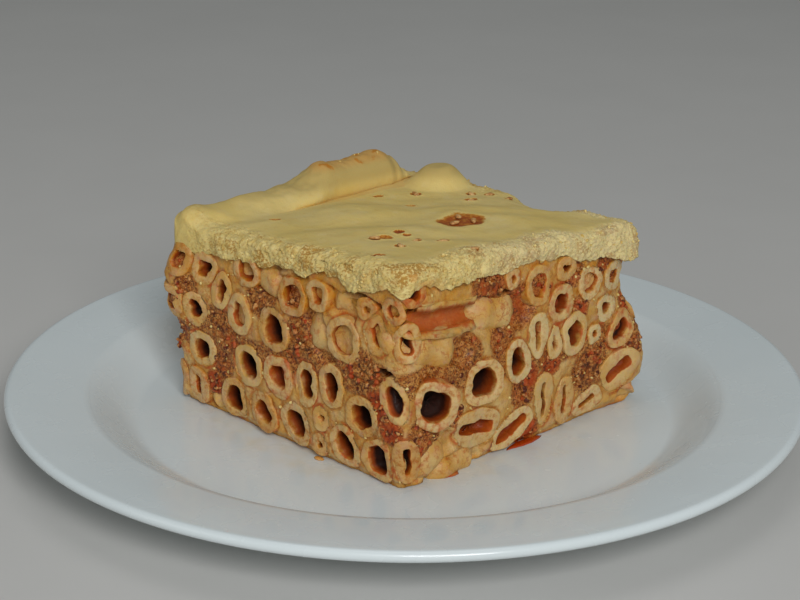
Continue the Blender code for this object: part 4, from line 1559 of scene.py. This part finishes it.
def scatter_tree(name, where_painted):
    """Lumps scattered over the faces of a surface, more where its painted value is higher."""
    inputs = {
        "Surface": "Geometry",
        "Lumps per square metre": 1.0e5,
        "Smallest": 0.0004,
        "Largest": 0.0012,
        "Lift": 0.0002,
        "Roughness": 0.35,
        "Seed": 1,
        "Finish": "Material",
    }
    tree = new_tree(name, inputs, "Lumps")
    given = add_node(tree, "NodeGroupInput").outputs
    amount = add_node(tree, "GeometryNodeInputNamedAttribute", {"data_type": "FLOAT"})
    amount.inputs["Name"].default_value = where_painted
    density = arithmetic(tree, "MULTIPLY", amount.outputs["Attribute"], given["Lumps per square metre"])
    spots = add_node(
        tree,
        "GeometryNodeDistributePointsOnFaces",
        {"distribute_method": "RANDOM"},
        {"Mesh": given["Surface"], "Density": density, "Seed": given["Seed"]},
    )
    scaling = {"operation": "SCALE"}
    from_surface = {0: spots.outputs["Normal"], "Scale": given["Lift"]}
    lift = add_node(tree, "ShaderNodeVectorMath", scaling, from_surface)
    lifted = {"Geometry": spots.outputs["Points"], "Offset": lift.outputs[0]}
    raised = add_node(tree, "GeometryNodeSetPosition", None, lifted)
    lump = add_node(tree, "GeometryNodeMeshIcoSphere", {"Radius": 0.5, "Subdivisions": 2})
    by_seed = {"Seed": given["Seed"]}
    turn = add_node(tree, "FunctionNodeRandomValue", {"data_type": "FLOAT_VECTOR"}, by_seed)
    turn.inputs["Max"].default_value = (2 * math.pi,) * 3
    size = add_node(tree, "FunctionNodeRandomValue", {"data_type": "FLOAT"}, by_seed)
    tree.links.new(given["Smallest"], size.inputs[2])
    tree.links.new(given["Largest"], size.inputs[3])
    squash = add_node(tree, "FunctionNodeRandomValue", {"data_type": "FLOAT_VECTOR"}, by_seed)
    squash.inputs["Min"].default_value = (0.6, 0.6, 0.6)
    squash.inputs["Max"].default_value = (1.3, 1.3, 1.0)
    squashed = {0: squash.outputs[0], "Scale": size.outputs[1]}
    scale = add_node(tree, "ShaderNodeVectorMath", scaling, squashed)
    placed = add_node(
        tree,
        "GeometryNodeInstanceOnPoints",
        None,
        {
            "Points": raised.outputs["Geometry"],
            "Instance": lump.outputs["Mesh"],
            "Rotation": turn.outputs[0],
            "Scale": scale.outputs[0],
        },
    )
    real = add_node(tree, "GeometryNodeRealizeInstances", None, {0: placed.outputs["Instances"]})
    # A noise with features 0.7 mm across pushes each lump's surface about.
    at = {"Vector": add_node(tree, "GeometryNodeInputPosition").outputs[0]}
    bumps = add_node(tree, "ShaderNodeTexNoise", {"Scale": 1400.0, "Detail": 1.0}, at).outputs["Color"]
    halved = {"operation": "SUBTRACT", 1: (0.5, 0.5, 0.5)}
    centred = add_node(tree, "ShaderNodeVectorMath", halved, {0: bumps}).outputs[0]
    reach = arithmetic(tree, "MULTIPLY", given["Roughness"], given["Largest"])
    push = add_node(tree, "ShaderNodeVectorMath", scaling, {0: centred, "Scale": reach})
    pushed = {"Geometry": real.outputs["Geometry"], "Offset": push.outputs[0]}
    rough = add_node(tree, "GeometryNodeSetPosition", None, pushed)
    made_of = {"Geometry": rough.outputs["Geometry"], "Material": given["Finish"]}
    finished = add_node(tree, "GeometryNodeSetMaterial", None, made_of)
    add_node(tree, "NodeGroupOutput", None, {"Lumps": finished.outputs["Geometry"]})
    return tree


def scatter(name, surface, tree, values):
    """Runs a scatter on a copy of the surface and keeps its result as a plain mesh."""
    carrier = bpy.data.objects.new(name + "_carrier", surface.data.copy())
    bpy.context.scene.collection.objects.link(carrier)
    modifier = carrier.modifiers.new(name, "NODES")
    modifier.node_group = tree
    sockets = {item.name: item.identifier for item in tree.interface.items_tree if item.in_out == "INPUT"}
    for label, value in values.items():
        modifier[sockets[label]] = value
    bpy.context.view_layer.update()
    graph = bpy.context.evaluated_depsgraph_get()
    mesh = bpy.data.meshes.new_from_object(carrier.evaluated_get(graph))
    mesh.name = name
    mesh.shade_smooth()
    bpy.data.objects.remove(carrier, do_unlink=True)
    if not mesh.polygons:
        raise RuntimeError(f"{name} scattered nothing")
    piece = bpy.data.objects.new(name, mesh)
    bpy.context.scene.collection.objects.link(piece)
    return piece


def seed_tree():
    """Sesame seeds set on points, each turned and sized by its own values."""
    sizes = {"Length": 0.003, "Width": 0.0019, "Thickness": 0.001}
    tree = new_tree("seeds on points", {"Points": "Geometry", **sizes, "Finish": "Material"}, "Seeds")
    given = add_node(tree, "NodeGroupInput").outputs
    ball = add_node(tree, "GeometryNodeMeshUVSphere", {"Segments": 18, "Rings": 14, "Radius": 0.5})
    # Narrower towards one end, as a seed is towards its tip.
    position = add_node(tree, "GeometryNodeInputPosition")
    parts = add_node(tree, "ShaderNodeSeparateXYZ", None, {0: position.outputs[0]})
    taper = add_node(
        tree,
        "ShaderNodeMapRange",
        {"From Min": -0.5, "From Max": 0.5, "To Min": 1.15, "To Max": 0.45},
        {"Value": parts.outputs["X"]},
    )
    wide = arithmetic(tree, "MULTIPLY", parts.outputs["Y"], taper.outputs[0])
    tapered = {"X": parts.outputs["X"], "Y": wide, "Z": parts.outputs["Z"]}
    together = add_node(tree, "ShaderNodeCombineXYZ", None, tapered)
    moved = {"Geometry": ball.outputs["Mesh"], "Position": together.outputs[0]}
    shaped = add_node(tree, "GeometryNodeSetPosition", None, moved)
    by_axis = {"X": given["Length"], "Y": given["Width"], "Z": given["Thickness"]}
    size = add_node(tree, "ShaderNodeCombineXYZ", None, by_axis)
    turn = add_node(tree, "GeometryNodeInputNamedAttribute", {"data_type": "FLOAT_VECTOR"})
    turn.inputs["Name"].default_value = "turn"
    as_points = add_node(tree, "GeometryNodeMeshToPoints", None, {"Mesh": given["Points"]})
    placed = add_node(
        tree,
        "GeometryNodeInstanceOnPoints",
        None,
        {
            "Points": as_points.outputs[0],
            "Instance": shaped.outputs["Geometry"],
            "Rotation": turn.outputs["Attribute"],
            "Scale": size.outputs[0],
        },
    )
    real = add_node(tree, "GeometryNodeRealizeInstances", None, {0: placed.outputs[0]})
    made_of = {"Geometry": real.outputs[0], "Material": given["Finish"]}
    finished = add_node(tree, "GeometryNodeSetMaterial", None, made_of)
    add_node(tree, "NodeGroupOutput", None, {"Seeds": finished.outputs["Geometry"]})
    return tree


# ---------------------------------------------------------------------------------------------
# Operators.


class DISH_OT_plate(bpy.types.Operator):
    """Turns the glazed plate: lip, level rim, shallow wall, floor and foot ring"""

    bl_idname = "dish.plate"
    bl_label = "Plate"

    def execute(self, context):
        settings = context.scene.dish.plate
        thick = settings.thickness / MM
        radius, rim_top, rim_inner, rim_drop = 115.0, 17.0, 91.5, 2.2
        floor_radius, floor_top = 77.0, PLATE_FLOOR
        foot_outer, foot_inner = 64.0, 58.0
        inner_top = rim_top - rim_drop
        under = floor_top - thick
        profile = [(0.0, under), (30.0, under), (foot_inner - 3.0, under)]
        profile += [(foot_inner - 1.2, under * 0.5), (foot_inner, 0.3), (foot_inner + 0.6, 0.0)]
        profile += [(foot_outer - 0.6, 0.0), (foot_outer, 0.3), (foot_outer + 1.0, under * 0.6)]
        profile += [(foot_outer + 3.0, under)]
        for share in np.linspace(0.0, 1.0, 12):
            run = floor_radius + 3.0 + (rim_inner + 2.0 - floor_radius - 3.0) * share
            rise = under + 0.8 + (inner_top - thick - 0.4 - under - 0.8) * smooth(share * 0.9 + 0.05)
            profile.append((run, float(rise)))
        for share in np.linspace(0.15, 1.0, 6):
            run = rim_inner + 2.0 + (radius - 3.0 - rim_inner - 2.0) * share
            rise = inner_top - thick + (rim_top - inner_top - 0.3) * share
            profile.append((run, rise))
        lip_up = rim_top - thick / 2
        for turn in np.radians(np.linspace(-80, 95, 14)):
            profile.append((radius - 1.7 + 1.7 * math.cos(turn), lip_up + thick / 2 * math.sin(turn)))
        for share in np.linspace(0.06, 1.0, 14):
            run = radius - 2.0 - (radius - 2.0 - rim_inner) * share
            rise = rim_top - 0.1 - (rim_drop - 0.1) * share**1.35
            profile.append((run, rise))
        for share in np.linspace(0.03, 1.0, 26):
            run = rim_inner - (rim_inner - floor_radius) * share
            rise = inner_top - (inner_top - floor_top) * float(smooth(share * 0.94 + 0.06) ** 0.9)
            profile.append((run, rise))
        for run in (74.0, 68.0, 60.0, 50.0, 38.0, 24.0, 10.0, 0.0):
            profile.append((run, floor_top))
        around = 192
        points = []
        turns = 2 * np.pi * np.arange(around) / around
        for run, rise in profile[1:-1]:
            ring = np.stack([run * np.cos(turns), run * np.sin(turns), np.full(around, rise)], axis=-1)
            points.append(ring)
        faces = grid_faces(len(points), around, True)
        points = np.concatenate(points)
        bottom, top = len(points), len(points) + 1
        points = np.concatenate([points, [[0, 0, profile[0][1]], [0, 0, profile[-1][1]]]])
        last = (len(profile) - 3) * around
        for i in range(around):
            after = (i + 1) % around
            faces.append((after, i, bottom))
            faces.append((last + i, last + after, top))
        reach = np.hypot(points[:, 0] - CUT_CENTRE_X, points[:, 1] - CUT_CENTRE_Y)
        grease = smooth((78.0 - reach) / 26.0) * (points[:, 2] > 4)
        points = points - np.array([CUT_CENTRE_X, CUT_CENTRE_Y, PLATE_FLOOR])
        piece = make_piece("plate_glazed", points, faces, glaze_finish(settings), {"grease": grease})
        dress(piece, "plate", "plate")
        return {"FINISHED"}


class DISH_OT_filling(bpy.types.Operator):
    """Makes the meat, sauce and cream between the macaroni, with the macaroni's bores sunk in it"""

    bl_idname = "dish.filling"
    bl_label = "Filling"

    def execute(self, context):
        dish = context.scene.dish
        ends = all_ends()
        outlines = fitted_outlines(ends)
        _, bores = macaroni_points(ends, outlines, dish.macaroni.wall / MM, dish.macaroni.bore_depth / MM)
        points, rows, columns, paint = filling_grid(bores, dish.filling)
        faces = grid_faces(rows, columns, True)
        first_ring = list(range(columns))
        last_ring = list(range((rows - 1) * columns, rows * columns))
        points, faces = close_with_rings(points, faces, first_ring, (0.75,), lambda x, y: 0.3, paint)
        points, faces = close_with_rings(
            points, faces, last_ring, (0.75, 0.4), lambda x, y: crust_bottom(x, y) + 1.2, paint
        )
        piece = make_piece("filling", points, faces, filling_finish(dish.filling, dish.macaroni), paint)
        dress(piece, "mince", "mince_sauce")
        return {"FINISHED"}


class DISH_OT_macaroni(bpy.types.Operator):
    """Sets the macaroni in the four sides: cut ends, and long ones lying along a side"""

    bl_idname = "dish.macaroni"
    bl_label = "Macaroni"

    def execute(self, context):
        settings = context.scene.dish.macaroni
        finish = macaroni_finish(settings)
        ends = all_ends()
        outlines = fitted_outlines(ends)
        made, _ = macaroni_points(ends, outlines, settings.wall / MM, settings.bore_depth / MM)
        for side, store in made.items():
            paint = {key: np.concatenate(store[key]) for key in PAINTS}
            piece = make_piece(
                "macaroni_" + side, np.concatenate(store["points"]), store["faces"], finish, paint
            )
            nodes = {"front": ("macaroni_lower",), "right": ("macaroni_upper",)}.get(side, ())
            dress(piece, "macaroni", *nodes)
        draw = random.Random(31)
        points, faces, depth, soak, oil = [], [], [], [], []
        start = 0
        for chart in LENGTHWISE + tuple(pan_side_macaroni()):
            flat, quads, deep, opened = lengthwise_piece(*chart, draw)
            points.append(flat)
            faces += [tuple(index + start for index in face) for face in quads]
            depth.append(np.zeros(len(flat)))
            soak.append(np.full(len(flat), draw.uniform(0.0, 0.3) + (0.25 if chart[0] == "pan" else 0.0)))
            oil.append(np.full(len(flat), draw.uniform(0.0, 0.12)) + deep * 3.0 * opened)
            start += len(flat)
        paint = {"depth": np.concatenate(depth), "soak": np.concatenate(soak), "oil": np.concatenate(oil)}
        piece = make_piece("macaroni_lengthwise", np.concatenate(points), faces, finish, paint)
        dress(piece, "macaroni")
        return {"FINISHED"}


class DISH_OT_pastry(bpy.types.Operator):
    """Bakes the crust: its swellings, its rolled edge, browned bubbles and broken sides"""

    bl_idname = "dish.pastry"
    bl_label = "Pastry"

    def execute(self, context):
        settings = context.scene.dish.pastry
        points, faces, paint = build_pastry(settings)
        piece = make_piece("pastry", points, faces, pastry_finish(settings), paint)
        dress(piece, "pastry", "pastry_crust")
        return {"FINISHED"}


class DISH_OT_crumbs(bpy.types.Operator):
    """Scatters crumbs over the broken edges of the crust"""

    bl_idname = "dish.crumbs"
    bl_label = "Crumbs"

    def execute(self, context):
        settings = context.scene.dish.pastry
        pastry = bpy.data.objects["pastry"]
        values = {
            "Lumps per square metre": 1.6e5,
            "Smallest": settings.crumb * 0.5,
            "Largest": settings.crumb * 2.6,
            "Lift": settings.crumb * 0.15,
            "Roughness": 0.5,
            "Seed": settings.seed,
            "Finish": crumb_finish(settings),
        }
        piece = scatter("pastry_crumbs", pastry, scatter_tree("crumbs", "crumbly"), values)
        dress(piece, "pastry")
        values["Lumps per square metre"] = 3.0e4
        filling = bpy.data.objects["filling"]
        piece = scatter("fallen_crumbs", filling, scatter_tree("fallen crumbs", "sprinkled"), values)
        dress(piece, "pastry")
        return {"FINISHED"}


class DISH_OT_mince(bpy.types.Operator):
    """Scatters grains of minced meat over the pockets of meat in the filling"""

    bl_idname = "dish.mince"
    bl_label = "Minced meat"

    def execute(self, context):
        settings = context.scene.dish.filling
        filling = bpy.data.objects["filling"]
        values = {
            "Lumps per square metre": 2.6e5,
            "Smallest": settings.grain * 0.4,
            "Largest": settings.grain * 1.7,
            "Lift": -settings.grain * 0.1,
            "Roughness": 0.5,
            "Seed": settings.seed,
            "Finish": mince_finish(settings),
        }
        piece = scatter("mince_grains", filling, scatter_tree("minced meat", "grainy"), values)
        dress(piece, "mince")
        return {"FINISHED"}


class DISH_OT_seeds(bpy.types.Operator):
    """Lays sesame seeds in the browned spots of the crust"""

    bl_idname = "dish.seeds"
    bl_label = "Sesame seeds"

    def execute(self, context):
        draw = random.Random(23)
        origin = np.array([CUT_CENTRE_X, CUT_CENTRE_Y, PLATE_FLOOR])
        places, turns = [], []
        for spot_x, spot_y, radius, _, count in BROWNED:
            for number in range(count):
                spread = radius * 0.5 if count > 1 else 0.0
                angle = 2 * math.pi * number / max(count, 1) + 0.6
                x = spot_x + spread * math.cos(angle)
                y = spot_y + spread * math.sin(angle)
                z = float(crust_top(x, y)) - dimple_depth(radius) + 0.35
                places.append(((np.array([x, y, z]) + origin) * MM).tolist())
                lean = (draw.uniform(-0.15, 0.15), draw.uniform(-0.15, 0.15))
                turns.append((*lean, draw.uniform(0, 2 * math.pi)))
        mesh = bpy.data.meshes.new("seed_points")
        mesh.from_pydata(places, [], [])
        layer = mesh.attributes.new("turn", "FLOAT_VECTOR", "POINT")
        layer.data.foreach_set("vector", np.array(turns, np.float32).ravel())
        carrier = bpy.data.objects.new("seed_points", mesh)
        piece = scatter("sesame_seeds", carrier, seed_tree(), {"Finish": seed_finish()})
        bpy.data.objects.remove(carrier, do_unlink=True)
        dress(piece, "pastry")
        return {"FINISHED"}


class DISH_OT_juices(bpy.types.Operator):
    """Lays thin films of tomato oil on the plate beside the cut"""

    bl_idname = "dish.juices"
    bl_label = "Juices"

    def execute(self, context):
        points, faces, red = [], [], []
        steps, count = 7, 48
        bearings = np.linspace(0, 2 * np.pi, count, endpoint=False)
        start = 0
        for index, (side, along, out, long, wide, redness) in enumerate(JUICES):
            around = float(around_at(side, along))
            middle, ahead, _, outward = end_frame(around, 0.5)
            wobble = 1.0
            for waves, reach in ((1.6, 0.28), (5.0, 0.12)):
                circle = [(math.cos(b) * waves + index, math.sin(b) * waves, index) for b in bearings]
                wobble = wobble + reach * np.array([noise.noise(spot) for spot in circle])
            for step in range(steps):
                share = 1 - step / (steps - 1) * 0.92
                rise = 0.05 + 0.55 * math.sqrt(1 - share**2)
                across = (long / 2) * np.cos(bearings) * wobble * share
                sideways = (wide / 2) * np.sin(bearings) * wobble * share + out
                ring = middle + np.outer(across, ahead) + np.outer(sideways, outward)
                ring[:, 2] = rise
                points.append(ring)
            faces += grid_faces(steps, count, True, False, start)
            centre = middle + outward * out
            points.append(np.array([[centre[0], centre[1], 0.6], [centre[0], centre[1], 0.02]]))
            hub, under = start + steps * count, start + steps * count + 1
            for i in range(count):
                after = (i + 1) % count
                faces.append((start + (steps - 1) * count + i, start + (steps - 1) * count + after, hub))
                faces.append((start + after, start + i, under))
            red.append(np.full(steps * count + 2, redness))
            start += steps * count + 2
        finish = juice_finish(context.scene.dish.filling)
        piece = make_piece("juices", np.concatenate(points), faces, finish, {"red": np.concatenate(red)})
        dress(piece, "mince")
        return {"FINISHED"}


class DISH_OT_stage(bpy.types.Operator):
    """Lays the pale floor, hangs the soft lights and sets the camera"""

    bl_idname = "dish.stage"
    bl_label = "Floor, light and camera"

    def execute(self, context):
        scene = context.scene
        settings = scene.dish.stage
        finish, tree = new_finish("pale_paper")
        where = place(tree)
        paper = blend(tree, speckle(tree, where, 60.0, 2.0), settings.floor, "CFCECB")
        finish_with(tree, {"Roughness": 0.9}, {"Base Color": paper})
        mesh = bpy.data.meshes.new("floor")
        corners = [(-3.0, -3.0, 0.0), (3.0, -3.0, 0.0), (3.0, 3.0, 0.0), (-3.0, 3.0, 0.0)]
        mesh.from_pydata(corners, [], [(0, 1, 2, 3)])
        mesh.materials.append(finish)
        floor = bpy.data.objects.new("floor", mesh)
        scene.collection.objects.link(floor)
        world = bpy.data.worlds.new("soft_room")
        world.use_nodes = True
        sky = world.node_tree.nodes["Background"].inputs
        sky["Color"].default_value = (0.94, 1.0, 1.0, 1.0)
        sky["Strength"].default_value = 0.15
        scene.world = world
        target = Vector((0.0, 0.0, 0.03))
        for name, spot, size, power in (
            ("key", (0.95, -0.62, 0.72), 0.50, 9.8),
            ("fill", (-0.30, -1.10, 0.55), 0.70, 1.2),
            ("top", (-0.10, 0.05, 1.10), 0.60, 1.2),
        ):
            lamp = bpy.data.lights.new(name, "AREA")
            lamp.shape = "SQUARE"
            lamp.size = size
            lamp.energy = power * settings.light
            light = bpy.data.objects.new(name, lamp)
            light.location = spot
            light.rotation_euler = (target - Vector(spot)).to_track_quat("-Z", "Y").to_euler()
            scene.collection.objects.link(light)
        lens = bpy.data.cameras.new("camera")
        lens.lens = 93.6
        lens.sensor_width = 36.0
        lens.clip_start = 0.01
        camera = bpy.data.objects.new("camera", lens)
        # A long lens 61 cm away looks down at the near corner by 20 degrees.
        right = Vector((0.7028, 0.7114, 0.0085)).normalized()
        back = Vector((0.6657, -0.6618, 0.3446)).normalized()
        up = back.cross(right).normalized()
        turn = Matrix((right, up, back)).transposed().to_4x4()
        camera.matrix_world = Matrix.Translation((0.3967, -0.3967, 0.2453)) @ turn
        scene.collection.objects.link(camera)
        scene.camera = camera
        scene.view_settings.view_transform = "Standard"
        return {"FINISHED"}


class DISH_PT_panel(bpy.types.Panel):
    """Lists the dish's operators and settings"""

    bl_label = "Baked macaroni"
    bl_idname = "DISH_PT_panel"
    bl_space_type = "VIEW_3D"
    bl_region_type = "UI"
    bl_category = "Baked macaroni"

    def draw(self, context):
        layout = self.layout
        for operator in OPERATORS:
            layout.operator(operator.bl_idname)
        for group in ("macaroni", "filling", "pastry", "plate", "stage"):
            box = layout.box()
            settings = getattr(context.scene.dish, group)
            for key in settings.bl_rna.properties.keys():
                if key not in ("rna_type", "name"):
                    box.prop(settings, key)


OPERATORS = (
    DISH_OT_stage,
    DISH_OT_plate,
    DISH_OT_filling,
    DISH_OT_macaroni,
    DISH_OT_pastry,
    DISH_OT_crumbs,
    DISH_OT_mince,
    DISH_OT_seeds,
    DISH_OT_juices,
)
GROUPS = (
    MacaroniSettings,
    FillingSettings,
    PastrySettings,
    PlateSettings,
    StageSettings,
    DishSettings,
)


def register():
    """Registers the settings, the operators and the panel."""
    for group in GROUPS + OPERATORS + (DISH_PT_panel,):
        bpy.utils.register_class(group)
    bpy.types.Scene.dish = PointerProperty(type=DishSettings)


def unregister():
    """Takes them away again."""
    del bpy.types.Scene.dish
    for group in reversed(GROUPS + OPERATORS + (DISH_PT_panel,)):
        bpy.utils.unregister_class(group)


def main():
    """Makes every piece in turn."""
    register()
    bpy.ops.dish.stage()
    bpy.ops.dish.plate()
    bpy.ops.dish.filling()
    bpy.ops.dish.macaroni()
    bpy.ops.dish.pastry()
    bpy.ops.dish.crumbs()
    bpy.ops.dish.mince()
    bpy.ops.dish.seeds()
    bpy.ops.dish.juices()


if __name__ == "__main__":
    main()
